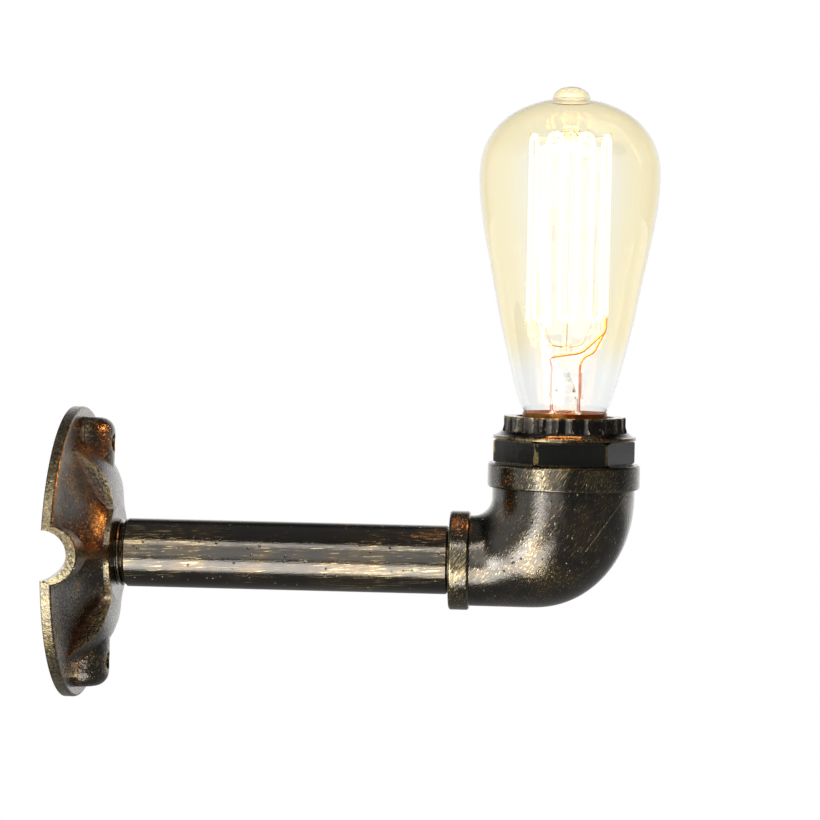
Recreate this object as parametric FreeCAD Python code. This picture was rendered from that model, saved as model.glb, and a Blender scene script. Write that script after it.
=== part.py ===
import FreeCAD, Part
import math
import os

V = FreeCAD.Vector
UP = V(0, 0, 1)
OUT = V(1, 0, 0)

# ---- wall flange: X points out of the wall, Z up, origin on the wall plane ----
flange_r = 45.2
flange_plate = 3.3
flange_edge = 0.9
flange_turn = -4.0
hub_front = 14.7
hub_r = 14.8
dome_foot_r = 37.0
dome_shoulder_r = 27.2
dome_shoulder_x = 11.9
lug_r = 9.0
lug_crown = 12.4
lug_end = 41.9
lug_end_round = 4.6
side_lug_crown = 11.0
side_lug_edge = 0.5
foot_pad_side = 1.1
foot_pad_rise = 1.4
notch_r = 7.4
notch_rise = 0.1
notch_slope = 12.0
groove_wall = 1.0
pocket_gap = 1.3
pocket_side = 60.0
pocket_outer_r = 37.6
pocket_near_r = 41.6
pocket_low = 2.6
pocket_inner_r = 16.0
pocket_corner = 2.6
recess_r = 19.0
recess_depth = 5.0
screw_hole_r = 2.5
screw_hole_at = 34.0
hole_edge = 0.5

# ---- pipe arm ----
pipe_r = 10.65
pipe_bore_r = 7.9
pipe_start = 17.5
pipe_thread_r = 10.48
pipe_thread_root_r = 9.32
pipe_pitch = 1.814
pipe_back = 5.6
pipe_end_edge = 0.5
thread_gap = 0.05

# ---- reducing elbow ----
collar_x = 118.0
collar_long = 6.4
collar_r = 15.3
barrel_r = 14.0
lamp_x = 152.7
cup_r = 21.9
heel_round = 5.8
flat_run = 19.5
elbow_wall = 3.3
bend_sections = 19
pipe_reach = 8.5
cup_collar_low = 23.2
cup_collar_top = 30.8
cup_collar_r = 23.4
collar_round = 0.9

# ---- hexagon sleeve ----
sleeve_thread_r = 18.0
sleeve_thread_root_r = 17.1
sleeve_pitch = 1.5
sleeve_low = 23.8
hex_flats = 37.9
hex_turn = 6.4
hex_top = 38.0
hex_edge = 0.5
sleeve_bore_r = 15.35
spigot_top = 42.0
spigot_thread_r = 17.0
spigot_root_r = 16.45
spigot_pitch = 1.0

# ---- fluted ring and its washer ----
ring_foot_r = hex_flats / math.sqrt(3.0) + 0.12
ring_foot_gap = 0.15
ring_foot_high = 1.05
ring_wall_r = 18.8
ring_flare_high = 3.6
ring_top = 45.2
ring_lip = 1.1
ring_mouth_r = 15.2
ring_edge = 0.3
flute_count = 24
flute_r = 4.0
flute_depth = 0.66
flute_low = 40.6
washer_high = 0.5
washer_in_r = 14.7

# ---- lamp holder core ----
core_r = 15.2
core_collar_r = 16.3
core_collar_high = 1.5
core_low = 17.0
core_floor = 2.6
core_foot_r = 13.2
core_foot_low = 9.4
core_seat = 25.9
core_well_r = 10.0
stack_gap = 0.05

# ---- screw shell and lamp cap: rolled thread, 3.629 mm pitch ----
cap_pitch = 3.629
shell_major_r = 13.3
shell_minor_r = 12.25
shell_sheet = 0.4
shell_top = 41.2
shell_floor_r = 10.6
cap_major_r = 13.1
cap_minor_r = 12.08
cap_sheet = 0.28
cap_top = 46.4
cap_skirt_r = 13.0
cap_thread_top = 44.4
cap_thread_low = 28.4
cap_curl_r = 10.1
cap_curl_z = 27.0
tip_z = 19.8
tip_r = 4.7
tip_high = 1.8

# ---- contacts and terminals ----
leaf_thick = 0.5
leaf_wide = 5.0
leaf_foot_y = 9.2
leaf_bend_y = 4.8
leaf_end_y = 3.4
leaf_drop = 0.2
block_size = 4.9
block_y = 7.6
block_low = 9.8
block_gap = 0.1
clamp_z = 12.6
clamp_r = 1.4
clamp_head_r = 2.2
clamp_head_high = 1.4
rivet_r = 1.0
rivet_head_r = 1.9
rivet_head_high = 0.5
rivet_at = 11.3
side_strip = 0.6
side_strip_wide = 3.6

# ---- wires ----
wire_r = 1.1
core_wire_r = 0.65
wire_back = 4.2
wire_side_y = 3.0
wire_side_z = 2.6
wire_turn = 8.0
strip_long = 4.0
ferrule_r = 1.0
ferrule_front = 1.0
lug_terminal_r = 3.4
lug_terminal_thick = 0.8
earth_at = 14.9
lug_aim = 22.0
lug_barrel_r = 1.4
earth_wire_r = 0.9
earth_shank_r = 1.9
earth_head_r = 3.2
earth_head_high = 1.9
earth_deep = 4.2

# ---- glass lamp ----
glass_wall = 0.8
bulb_r = 27.8
bulb_belly_z = 118.5
glass_top = 142.6
neck_r = 11.5
neck_low = 40.6
pip_r = 6.2
pip_top = 146.1
stem_r = 4.3
press_top = 58.8
press_wide = 11.0
press_thick = 3.6
post_r = 1.25
button_z = 132.6
button_r = 2.6
cage_r = 12.2
cage_top = 131.0
cage_low = 74.5
cage_strands = 16
filament_r = 0.26
hook_r = 0.2
lead_r = 0.35
lead_spread = 4.3
lead_low = 30.0
lower_hub_z = 66.5


def box(x0, x1, y0, y1, z0, z1):
    return Part.makeBox(x1 - x0, y1 - y0, z1 - z0, V(x0, y0, z0))


def revolve_z(points, x=0.0):
    """Solid of revolution about the vertical line at x from (radius, height) points."""
    outline = Part.makePolygon([V(x + r, 0, z) for r, z in points] + [V(x + points[0][0], 0, points[0][1])])
    return Part.Face(outline).revolve(V(x, 0, 0), UP, 360)


def revolve_edges(edges, x=0.0):
    return Part.Face(Part.Wire(edges)).revolve(V(x, 0, 0), UP, 360)


def to_out_axis(shape):
    """Lay a shape built along +Z down along +X."""
    shape.rotate(V(0, 0, 0), V(0, 1, 0), 90)
    return shape


def ease(t):
    t = min(1.0, max(0.0, t))
    return t * t * (3.0 - 2.0 * t)


def skinned_solid(rows, knots):
    """Closed solid over a smooth skin: rows run around it, each from end to end."""
    around = len(rows)
    spans = len(knots) - 1
    surface = Part.BSplineSurface()
    surface.buildFromPolesMultsKnots(
        rows, [1] * (around + 1), [4] + [1] * (spans - 1) + [4],
        [float(i) for i in range(around + 1)], knots, True, False, 3, 3)
    side = surface.toShape()
    caps = [Part.Face(Part.Wire([e])) for e in side.Edges if e.Closed]
    skin = Part.Shell([side] + caps)
    skin.sewShape()
    return Part.makeSolid(skin)


def round_gain(around):
    """How far control points stand outside the circle they describe."""
    return 3.0 / (2.0 + math.cos(2.0 * math.pi / around))


def helical_solid(root_r, crest_r, pitch, low, high, fade, fades_to_crest):
    """Closed rod whose radius follows a right-hand rolled thread on +Z.

    The thread fades to a plain circle at both ends: to the root on a screw and
    to the crest on a tapping cutter, so a screw and its hole never cross.
    """
    around = 32
    along = int(math.ceil((high - low) / pitch * 10.0)) + 4
    spans = along - 3
    knots = [low + (high - low) * i / spans for i in range(spans + 1)]
    full = [knots[0]] * 3 + knots + [knots[-1]] * 3
    heights = [(full[j + 1] + full[j + 2] + full[j + 3]) / 3.0 for j in range(along)]
    rise = 2.0 * math.pi * (knots[1] - knots[0]) / pitch
    wave_gain = 3.0 / (2.0 + math.cos(rise)) * 3.0 / (2.5 + 0.5 * math.cos(4.0 * math.pi / around))
    half_depth = 0.5 * (crest_r - root_r)
    rows = []
    for i in range(around):
        turn = 2.0 * math.pi * i / around
        row = []
        for z in heights:
            shown = half_depth * ease((z - low) / fade) * ease((high - z) / fade)
            base = crest_r - shown if fades_to_crest else root_r + shown
            wave = math.cos(2.0 * math.pi * z / pitch - turn)
            r = base * round_gain(around) + shown * wave * wave_gain
            row.append(V(r * math.cos(turn), r * math.sin(turn), z))
        rows.append(row)
    return skinned_solid(rows, knots)


def soft_edges(shape, size, keep):
    """Round the edges for which keep(edge) is true."""
    edges = [e for e in shape.Edges if keep(e)]
    return shape.makeFillet(size, edges) if edges else shape


def is_circle(edge, r, z=None):
    curve = edge.Curve
    if not isinstance(curve, Part.Circle) or abs(curve.Radius - r) > 1e-3:
        return False
    return z is None or abs(curve.Center.z - z) < 1e-3


# ---------------------------------------------------------------- flange ----
def dome_profile():
    """Outline of the dome in (radius, x) with the shoulder as one smooth curve."""
    curve = Part.BSplineCurve()
    curve.interpolate([V(dome_foot_r, 0, flange_plate), V(33.0, 0, 7.0),
                       V(dome_shoulder_r, 0, dome_shoulder_x), V(21.0, 0, 13.7),
                       V(hub_r, 0, hub_front)])
    return curve


def flange_dome():
    low = V(0, 0, 0.5)
    edges = [Part.LineSegment(low, V(dome_foot_r, 0, 0.5)).toShape(),
             Part.LineSegment(V(dome_foot_r, 0, 0.5), V(dome_foot_r, 0, flange_plate)).toShape(),
             dome_profile().toShape(),
             Part.LineSegment(V(hub_r, 0, hub_front), V(0, 0, hub_front)).toShape(),
             Part.LineSegment(V(0, 0, hub_front), low).toShape()]
    return revolve_edges(edges)


def flange_lug(turn):
    """Half-round radial lug for a wall screw, with a rounded outer end, along +X of the upright disc."""
    rod = Part.makeCylinder(lug_r, lug_end - hub_r, V(hub_r - 2.0, 0, lug_crown - lug_r), OUT)
    rod.translate(V(2.0, 0, 0))
    rod = soft_edges(rod, lug_end_round,
                     lambda e: isinstance(e.Curve, Part.Circle) and e.CenterOfMass.x > lug_end - 1)
    upper = box(0, flange_r, -lug_r - 1, lug_r + 1, 0.5, lug_crown + 1)
    post = box(hub_r, lug_end - lug_end_round, -lug_r, lug_r, 0.5, lug_crown - lug_r)
    lug = rod.common(upper).fuse(post)
    half = lug_r + foot_pad_side
    pad = box(hub_r + 6, lug_end - 2.2, -half, half, 0.5, flange_plate + foot_pad_rise)
    pad = pad.makeFillet(2.2, [e for e in pad.Edges if e.BoundBox.ZLength > 1 and e.CenterOfMass.x > 30])
    lug = lug.fuse(pad)
    lug.rotate(V(0, 0, 0), UP, turn)
    return lug


def side_lug(turn):
    """Half-round lug over a cable notch: it runs out to the rim and ends flush with it."""
    centre = side_lug_crown - lug_r
    rod = Part.makeCylinder(lug_r, flange_r - hub_r + 2.0, V(hub_r, 0, centre), OUT)
    lug = rod.common(box(0, flange_r + 3, -lug_r - 1, lug_r + 1, 0.5, side_lug_crown + 1))
    lug = lug.common(Part.makeCylinder(flange_r, side_lug_crown + 2))
    rim = [e for e in lug.Edges if e.BoundBox.XMax > flange_r - 0.1 and e.BoundBox.ZMax > side_lug_crown - 0.1]
    lug = lug.makeChamfer(side_lug_edge, rim)
    lug.rotate(V(0, 0, 0), UP, turn)
    return lug


def pocket_outline():
    """Plan of one pocket, starting beside the ridge at angle zero."""
    side = math.radians(pocket_side)
    flank = lug_r + 0.6
    reach = math.sqrt(pocket_inner_r ** 2 - pocket_gap ** 2)
    a = V(reach, pocket_gap, 0)
    b = V(32.5, pocket_gap, 0)
    c = V(math.sqrt(pocket_near_r ** 2 - flank ** 2), flank, 0)
    mid = 0.5 * (math.atan2(flank, c.x) + side)
    bulge = 0.5 * (pocket_near_r + pocket_outer_r) + 0.5
    d = V(pocket_outer_r * math.cos(side), pocket_outer_r * math.sin(side), 0)
    e = V(pocket_inner_r * math.cos(side), pocket_inner_r * math.sin(side), 0)
    half = 0.5 * side
    arc_out = Part.Arc(c, V(bulge * math.cos(mid), bulge * math.sin(mid), 0), d)
    arc_in = Part.Arc(e, V(pocket_inner_r * math.cos(half), pocket_inner_r * math.sin(half), 0), a)
    return Part.Wire([Part.LineSegment(a, b).toShape(), Part.LineSegment(b, c).toShape(),
                      arc_out.toShape(), Part.LineSegment(d, e).toShape(), arc_in.toShape()])


def pocket_cutter():
    """One pocket: its plan carried upward over a scooped floor."""
    prism = Part.Face(pocket_outline()).extrude(V(0, 0, hub_front + 4))
    prism = prism.makeFillet(pocket_corner, [e for e in prism.Edges if e.BoundBox.ZLength > 5])
    floor = Part.BSplineCurve()
    floor.interpolate([V(flange_r, 0, pocket_low), V(pocket_outer_r, 0, pocket_low + 0.5), V(32.0, 0, 4.7),
                       V(25.0, 0, 6.9), V(19.0, 0, 9.8), V(pocket_inner_r - 0.8, 0, 14.2)])
    top = hub_front + 6
    start, end = floor.StartPoint, floor.EndPoint
    edges = [floor.toShape(), Part.LineSegment(end, V(end.x, 0, top)).toShape(),
             Part.LineSegment(V(end.x, 0, top), V(start.x, 0, top)).toShape(),
             Part.LineSegment(V(start.x, 0, top), start).toShape()]
    return prism.common(revolve_edges(edges))


def groove_bar(radius):
    """Round bar along the sloping cable groove under a side lug, along +X of the upright disc."""
    slope = math.radians(notch_slope)
    bar = Part.makeCylinder(radius, (flange_r + 6.0) / math.cos(slope), V(0, 0, 0), OUT)
    bar.rotate(V(0, 0, 0), V(0, 1, 0), -notch_slope)
    bar.translate(V(0, 0, notch_rise - flange_r * math.tan(slope)))
    return bar


def make_flange():
    """Cast flange, built lying down with the wall plane at z = 0."""
    plate = Part.makeCylinder(flange_r, flange_plate)
    plate = soft_edges(plate, flange_edge, lambda e: is_circle(e, flange_r, flange_plate))
    lugs = [flange_lug(turn) for turn in (0.0, 180.0)] + [side_lug(turn) for turn in (90.0, 270.0)]
    body = plate.fuse([flange_dome()] + lugs)
    body = body.removeSplitter()
    pocket = pocket_cutter()
    mirrored = pocket.mirror(V(0, 0, 0), V(0, 1, 0))
    for turn in (90.0, 270.0):
        for cutter in (pocket, mirrored):
            tool = cutter.copy()
            tool.rotate(V(0, 0, 0), UP, turn)
            body = body.cut(tool)
    inside = Part.makeCylinder(flange_r - flange_edge, side_lug_crown - 1.0)
    for turn in (90.0, 270.0):
        roof, notch = groove_bar(notch_r + groove_wall).common(inside), groove_bar(notch_r)
        roof.rotate(V(0, 0, 0), UP, turn)
        notch.rotate(V(0, 0, 0), UP, turn)
        body = body.fuse(roof).cut(notch)
    body = body.cut(Part.makeCylinder(recess_r, recess_depth + 0.5, V(0, 0, -0.5)))
    for turn in (0.0, 180.0):
        x = screw_hole_at if turn == 0.0 else -screw_hole_at
        body = body.cut(Part.makeCylinder(screw_hole_r, lug_crown + 2, V(x, 0, -1)))
        body = body.cut(Part.makeCone(screw_hole_r, screw_hole_r + 1.2, 1.2, V(x, 0, lug_crown - hole_edge)))
    earth = Part.makeCylinder(earth_shank_r + thread_gap, earth_deep + 0.6, V(0, earth_at, recess_depth - 0.1))
    body = stand_on_wall(body.cut(earth))
    tap = helical_solid(pipe_thread_root_r + thread_gap, pipe_thread_r + thread_gap, pipe_pitch,
                        recess_depth - 1.6, hub_front + 1.6, 1.5, True)
    return body.cut(to_out_axis(tap))


def turned(shape):
    """Follow the small turn of the flange about the pipe."""
    shape.rotate(V(0, 0, 0), OUT, flange_turn)
    return shape


def stand_on_wall(shape):
    """Turn a shape built lying down on to the wall, so that +Z becomes +X."""
    return turned(to_out_axis(shape))


# ------------------------------------------------------------------ pipe ----
def make_pipe():
    reach = collar_x + pipe_reach
    body = Part.makeCylinder(pipe_r, collar_x - 0.4 - pipe_start, V(0, 0, pipe_start))
    body = body.makeChamfer(pipe_end_edge, [e for e in body.Edges if is_circle(e, pipe_r)])
    wall_end = helical_solid(pipe_thread_root_r, pipe_thread_r, pipe_pitch, pipe_back, pipe_start + 0.6, 1.2, False)
    elbow_end = helical_solid(pipe_thread_root_r, pipe_thread_r, pipe_pitch, collar_x - 1.0, reach, 1.2, False)
    pipe = body.fuse([wall_end, elbow_end])
    pipe = pipe.cut(Part.makeCylinder(pipe_bore_r, reach, V(0, 0, 0)))
    return to_out_axis(pipe)


# ----------------------------------------------------------------- elbow ----
def heel():
    """Centre of the tight inner corner of the bend."""
    return V(lamp_x - cup_r - heel_round, 0, barrel_r + heel_round)


def bend_circle(swing, wall):
    """Section of the bend at an angle from the arm, as centre and radius."""
    pivot = heel()
    a = math.radians(swing)
    dx, dz = math.sin(a), -math.cos(a)
    half_x = lamp_x + cup_r - pivot.x - flat_run
    half_z = pivot.z + barrel_r
    far = half_z / max(1e-9, math.cos(a))
    if far * dx > flat_run:
        p = (dx / half_x) ** 2 + (dz / half_z) ** 2
        q = -2.0 * flat_run * dx / half_x ** 2
        s = (flat_run / half_x) ** 2 - 1.0
        far = (-q + math.sqrt(q * q - 4.0 * p * s)) / (2.0 * p)
    near = heel_round + wall
    mid = 0.5 * (near + far - wall)
    return V(pivot.x + mid * dx, 0, pivot.z + mid * dz), 0.5 * (far - wall - near)


def bend_solid(wall, start_x, end_z):
    """Bend of the elbow as one smooth skin, with straight ends at start_x and end_z."""
    pivot = heel()
    sections = []
    lead = max(0, int(round((pivot.x - start_x) / 2.0)))
    for j in range(lead):
        sections.append((V(start_x + (pivot.x - start_x) * j / lead, 0, 0), barrel_r - wall, 0.0))
    for j in range(bend_sections):
        swing = 90.0 * j / (bend_sections - 1)
        centre, r = bend_circle(swing, wall)
        sections.append((centre, r, swing))
    tail = max(0, int(round((end_z - pivot.z) / 1.5)))
    for j in range(tail):
        sections.append((V(lamp_x, 0, pivot.z + (end_z - pivot.z) * (j + 1) / tail), cup_r - wall, 90.0))
    around = 24
    rows = []
    for i in range(around):
        turn = 2.0 * math.pi * i / around
        row = []
        for centre, r, swing in sections:
            a = math.radians(swing)
            side = r * round_gain(around) * math.cos(turn)
            out = r * round_gain(around) * math.sin(turn)
            row.append(V(centre.x + out * math.sin(a), side, centre.z - out * math.cos(a)))
        rows.append(row)
    return skinned_solid(rows, [float(k) for k in range(len(sections) - 2)])


def make_elbow():
    body = bend_solid(0.0, collar_x + 1.2, cup_collar_low + 1.2)
    small = Part.makeCylinder(collar_r, collar_long, V(collar_x, 0, 0), OUT)
    small = small.makeFillet(collar_round, [e for e in small.Edges if is_circle(e, collar_r)])
    large = Part.makeCylinder(cup_collar_r, cup_collar_top - cup_collar_low, V(lamp_x, 0, cup_collar_low), UP)
    large = large.makeFillet(collar_round, [e for e in large.Edges if is_circle(e, cup_collar_r)])
    body = body.fuse([small, large])
    body = body.cut(bend_solid(elbow_wall, heel().x, sleeve_low - 0.1))
    tap = helical_solid(pipe_thread_root_r + thread_gap, pipe_thread_r + thread_gap, pipe_pitch,
                        collar_x - 1.6, heel().x + 1.0, 1.5, True)
    body = body.cut(to_out_axis(tap))
    tap = helical_solid(sleeve_thread_root_r + thread_gap, sleeve_thread_r + thread_gap, sleeve_pitch,
                        sleeve_low - 0.8, cup_collar_top + 1.2, 1.0, True)
    tap.translate(V(lamp_x, 0, 0))
    return body.cut(tap)


# ---------------------------------------------------------------- sleeve ----
def make_sleeve():
    corners = []
    for i in range(7):
        a = math.radians(hex_turn + 60.0 * i)
        r = 0.5 * hex_flats / math.cos(math.pi / 6.0)
        corners.append(V(r * math.cos(a), r * math.sin(a), cup_collar_top + stack_gap))
    nut = Part.Face(Part.makePolygon(corners)).extrude(V(0, 0, hex_top - cup_collar_top - stack_gap))
    rim = 0.5 * hex_flats / math.cos(math.pi / 6.0)
    guard = revolve_z([(0, cup_collar_top), (rim - hex_edge * 2, cup_collar_top), (rim + 0.1, cup_collar_top + hex_edge * 1.2),
                       (rim + 0.1, hex_top - hex_edge * 1.2), (rim - hex_edge * 2, hex_top), (0, hex_top)])
    nut = nut.common(guard)
    screw = helical_solid(sleeve_thread_root_r, sleeve_thread_r, sleeve_pitch, sleeve_low, cup_collar_top + 0.4, 0.8, False)
    spigot = helical_solid(spigot_root_r, spigot_thread_r, spigot_pitch, hex_top - 0.4, spigot_top, 0.7, False)
    body = nut.fuse([screw, spigot])
    body = body.cut(Part.makeCylinder(sleeve_bore_r, 60, V(0, 0, 0)))
    body.translate(V(lamp_x, 0, 0))
    return body


# ------------------------------------------------------------ ring, washer ----
def make_ring():
    foot = hex_top + ring_foot_gap
    lip = foot + ring_foot_high
    flare = lip + ring_flare_high
    a, b = V(ring_foot_r, 0, lip), V(ring_wall_r, 0, flare)
    mid = V(ring_wall_r + 0.32 * (ring_foot_r - ring_wall_r), 0, lip + 0.30 * ring_flare_high)
    edges = [Part.LineSegment(V(ring_mouth_r, 0, foot), V(ring_foot_r, 0, foot)).toShape(),
             Part.LineSegment(V(ring_foot_r, 0, foot), a).toShape(),
             Part.Arc(a, mid, b).toShape(),
             Part.LineSegment(b, V(ring_wall_r, 0, ring_top)).toShape(),
             Part.LineSegment(V(ring_wall_r, 0, ring_top), V(ring_mouth_r, 0, ring_top)).toShape(),
             Part.LineSegment(V(ring_mouth_r, 0, ring_top), V(ring_mouth_r, 0, foot)).toShape()]
    ring = revolve_edges(edges)
    ring = soft_edges(ring, ring_edge, lambda e: is_circle(e, ring_wall_r, ring_top) or is_circle(e, ring_foot_r)
                      or is_circle(e, ring_mouth_r, ring_top))
    way = ring_wall_r + flute_r - flute_depth
    flutes = []
    for i in range(flute_count):
        a = 2.0 * math.pi * i / flute_count
        flutes.append(Part.makeCylinder(flute_r, ring_top - flute_low + 1, V(way * math.cos(a), way * math.sin(a), flute_low)))
    ring = ring.cut(Part.makeCompound(flutes))
    seat = ring_top - ring_lip
    ring = ring.cut(Part.makeCylinder(core_collar_r + 0.2, seat - foot, V(0, 0, foot - 0.0)))
    tap = helical_solid(spigot_root_r + 0.08, spigot_thread_r + 0.08, spigot_pitch, foot - 0.8, spigot_top + 0.8, 0.7, True)
    ring = ring.cut(tap)
    ring.translate(V(lamp_x, 0, 0))
    return ring


def make_washer():
    high = ring_top - ring_lip - stack_gap
    outer = core_collar_r - 0.1
    return revolve_z([(washer_in_r, high - washer_high), (outer, high - washer_high),
                      (outer, high), (washer_in_r, high)], lamp_x)


# ------------------------------------------------------------ holder core ----
def make_core():
    top = spigot_top + stack_gap + core_collar_high
    bore = shell_major_r + shell_sheet + 0.1
    body = revolve_z([(0, core_foot_low), (core_foot_r, core_foot_low), (core_foot_r, core_low), (core_r, core_low),
                      (core_r, spigot_top + stack_gap), (core_collar_r, spigot_top + stack_gap),
                      (core_collar_r, top), (bore, top), (bore, core_seat), (core_well_r, core_seat),
                      (core_well_r, core_low + core_floor - 1.4), (0, core_low + core_floor - 1.4)])
    half = 0.5 * block_size + block_gap
    for sign in (-1.0, 1.0):
        y0, y1 = sorted((sign * (block_y - half), sign * (core_foot_r + 1)))
        body = body.cut(box(-half, half, y0, y1, core_foot_low - 1, block_low + block_size + block_gap + 1.0))
    floor = core_low + core_floor - 1.4
    body = body.cut(Part.makeCylinder(rivet_r + block_gap, 8, V(0, -block_y, floor - 6)))
    slot = 0.5 * side_strip_wide + block_gap
    y0 = block_y + 0.5 * block_size
    body = body.cut(box(-slot, slot, y0, y0 + side_strip + 2 * block_gap, core_foot_low, core_seat + 0.5))
    for sign in (-1.0, 1.0):
        body = body.cut(Part.makeCylinder(rivet_r + block_gap, core_seat - core_low + 1, V(sign * rivet_at, 0, core_low - 0.5)))
        body = body.cut(Part.makeCylinder(rivet_head_r + 0.2, 5.4, V(sign * rivet_at, 0, core_low - 5)))
    body.translate(V(lamp_x, 0, 0))
    return body


def make_shell():
    low = core_seat + stack_gap
    outer = helical_solid(shell_minor_r + shell_sheet, shell_major_r + shell_sheet, cap_pitch, low, shell_top, 1.6, True)
    inner = helical_solid(shell_minor_r, shell_major_r, cap_pitch, low, shell_top, 1.6, True)
    body = outer.cut(inner)
    floor = revolve_z([(shell_floor_r, low), (shell_major_r + 0.1, low), (shell_major_r + 0.1, low + shell_sheet),
                       (shell_floor_r, low + shell_sheet)])
    body = body.fuse(floor)
    for sign in (-1.0, 1.0):
        body = body.cut(Part.makeCylinder(rivet_r + 0.05, 2, V(sign * rivet_at, 0, low - 0.5)))
    body.translate(V(lamp_x, 0, 0))
    return body


def make_shell_rivets():
    low = core_seat + stack_gap + shell_sheet
    parts = []
    for sign in (-1.0, 1.0):
        x = lamp_x + sign * rivet_at
        rivet = Part.makeCylinder(rivet_r, low - core_low + 0.1, V(x, 0, core_low - 0.1))
        top = Part.makeCylinder(rivet_r + 0.35, 0.35, V(x, 0, low + 0.02))
        foot = Part.makeCylinder(rivet_head_r, rivet_head_high, V(x, 0, core_low - 0.1))
        parts.append(rivet.fuse([top, foot]))
    return parts


def make_side_contact():
    y0 = block_y + 0.5 * block_size + block_gap
    strip = box(-0.5 * side_strip_wide, 0.5 * side_strip_wide, y0, y0 + side_strip,
                block_low, core_seat + stack_gap - 0.02)
    strip = strip.cut(Part.makeCylinder(clamp_r + 0.1, 3, V(0, y0 - 1, clamp_z), V(0, 1, 0)))
    strip.translate(V(lamp_x, 0, 0))
    return strip


def leaf_low():
    return core_low + core_floor - 1.4 + 0.02


def make_contact_foot():
    end = leaf_bend_y + 0.5 * leaf_thick + stack_gap
    low = leaf_low()
    foot = box(-0.5 * leaf_wide, 0.5 * leaf_wide, -leaf_foot_y, -end, low, low + leaf_thick)
    foot = foot.cut(Part.makeCylinder(rivet_r + 0.1, 3, V(0, -block_y, low - 1)))
    foot.translate(V(lamp_x, 0, 0))
    return foot


def make_centre_contact():
    half = 0.5 * leaf_thick
    bend = V(0, -leaf_bend_y, leaf_low() + half)
    crown = tip_z - stack_gap - half
    middle = [bend, V(0, -1.6, crown - 0.05), V(0, 0, crown), V(0, 1.6, crown - 0.05), V(0, leaf_end_y, crown - leaf_drop)]
    leaf = Part.makeCylinder(half, leaf_wide, bend, V(1, 0, 0))
    for start, end in zip(middle, middle[1:]):
        along = end - start
        across = V(0, -along.z, along.y).normalize() * half
        corners = [start + across, end + across, end - across, start - across]
        leaf = leaf.fuse(Part.Face(Part.makePolygon(corners + corners[:1])).extrude(V(leaf_wide, 0, 0)))
        leaf = leaf.fuse(Part.makeCylinder(half, leaf_wide, end, V(1, 0, 0)))
    leaf = leaf.removeSplitter()
    leaf.translate(V(lamp_x - 0.5 * leaf_wide, 0, 0))
    return leaf


def make_contact_rivet():
    floor = leaf_low() + leaf_thick
    low = block_low + block_size
    shank = Part.makeCylinder(rivet_r, floor - low + 0.2, V(lamp_x, -block_y, low))
    head = Part.makeCylinder(rivet_head_r, rivet_head_high, V(lamp_x, -block_y, floor + 0.02))
    return shank.fuse(head)


def make_terminal_blocks():
    parts = []
    for sign in (-1.0, 1.0):
        half = 0.5 * block_size
        block = box(lamp_x - half, lamp_x + half, sign * block_y - half, sign * block_y + half,
                    block_low, block_low + block_size)
        wire_y = sign * (block_y - 0.8)
        block = block.cut(Part.makeCylinder(core_wire_r + 0.1, block_size - 0.9, V(lamp_x, wire_y, block_low - 0.1)))
        hole_y = sign * (block_y - 0.8)
        way = V(0, sign, 0)
        block = block.cut(Part.makeCylinder(clamp_r + 0.05, 8, V(lamp_x, hole_y, clamp_z), way))
        parts.append(block)
    return parts


def make_terminal_screws():
    parts = []
    for sign in (-1.0, 1.0):
        way = V(0, sign, 0)
        seat = block_y + 0.5 * block_size + (block_gap + side_strip if sign > 0 else 0) + 0.05
        tip = block_y - 0.8 + core_wire_r + 0.03
        shank = Part.makeCylinder(clamp_r, seat - tip + 0.1, V(lamp_x, sign * tip, clamp_z), way)
        head = Part.makeCylinder(clamp_head_r, clamp_head_high, V(lamp_x, sign * seat, clamp_z), way)
        slot = box(lamp_x - 3, lamp_x + 3, -0.3, 0.3, clamp_z - 0.3, clamp_z + 0.3)
        slot = box(lamp_x - 3, lamp_x + 3, -0.6, 0.6, clamp_z - 0.3, clamp_z + 0.3)
        slot.translate(V(0, sign * (seat + clamp_head_high), 0))
        parts.append(shank.fuse(head).cut(slot))
    return parts


# ----------------------------------------------------------------- wires ----
def routed_tube(points, r, bend):
    """Round tube along straight runs joined by tangent arcs."""
    edges = []
    start = points[0]
    for before, corner, after in zip(points, points[1:], points[2:]):
        a = (before - corner).normalize()
        b = (after - corner).normalize()
        half = 0.5 * a.getAngle(b)
        if half > 0.4999 * math.pi:
            continue
        size = min(bend, 0.45 * min((before - corner).Length, (after - corner).Length) * math.tan(half))
        cut = size / math.tan(half)
        p, q = corner + a * cut, corner + b * cut
        inward = (a + b).normalize()
        middle = corner + inward * (size / math.sin(half) - size)
        edges.append(Part.LineSegment(start, p).toShape())
        edges.append(Part.Arc(p, middle, q).toShape())
        start = q
    edges.append(Part.LineSegment(start, points[-1]).toShape())
    path = Part.Wire(edges)
    way = (points[1] - points[0]).normalize()
    ring = Part.Wire([Part.Circle(points[0], way, r).toShape()])
    return path.makePipeShell([ring], True, False)


def wire_points(sign):
    y = sign * (block_y - 0.8)
    z = -sign * wire_side_z
    return [V(lamp_x, y, block_low - 0.4), V(lamp_x, y, z), V(collar_x + 2, -wire_side_y, z),
            V(0.6 * collar_x, -wire_side_y, z), V(wire_back + strip_long, -wire_side_y, z)]


def make_wire(sign):
    points = wire_points(sign)
    cover = routed_tube(points, wire_r, wire_turn)
    y = points[0].y
    copper = Part.makeCylinder(core_wire_r, block_size - 1.4, V(lamp_x, y, block_low - 0.5))
    end = points[-1]
    tail = Part.makeCylinder(core_wire_r, strip_long - 0.5, V(end.x - strip_long + 0.6, end.y, end.z), OUT)
    return cover.fuse([copper, tail])


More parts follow.
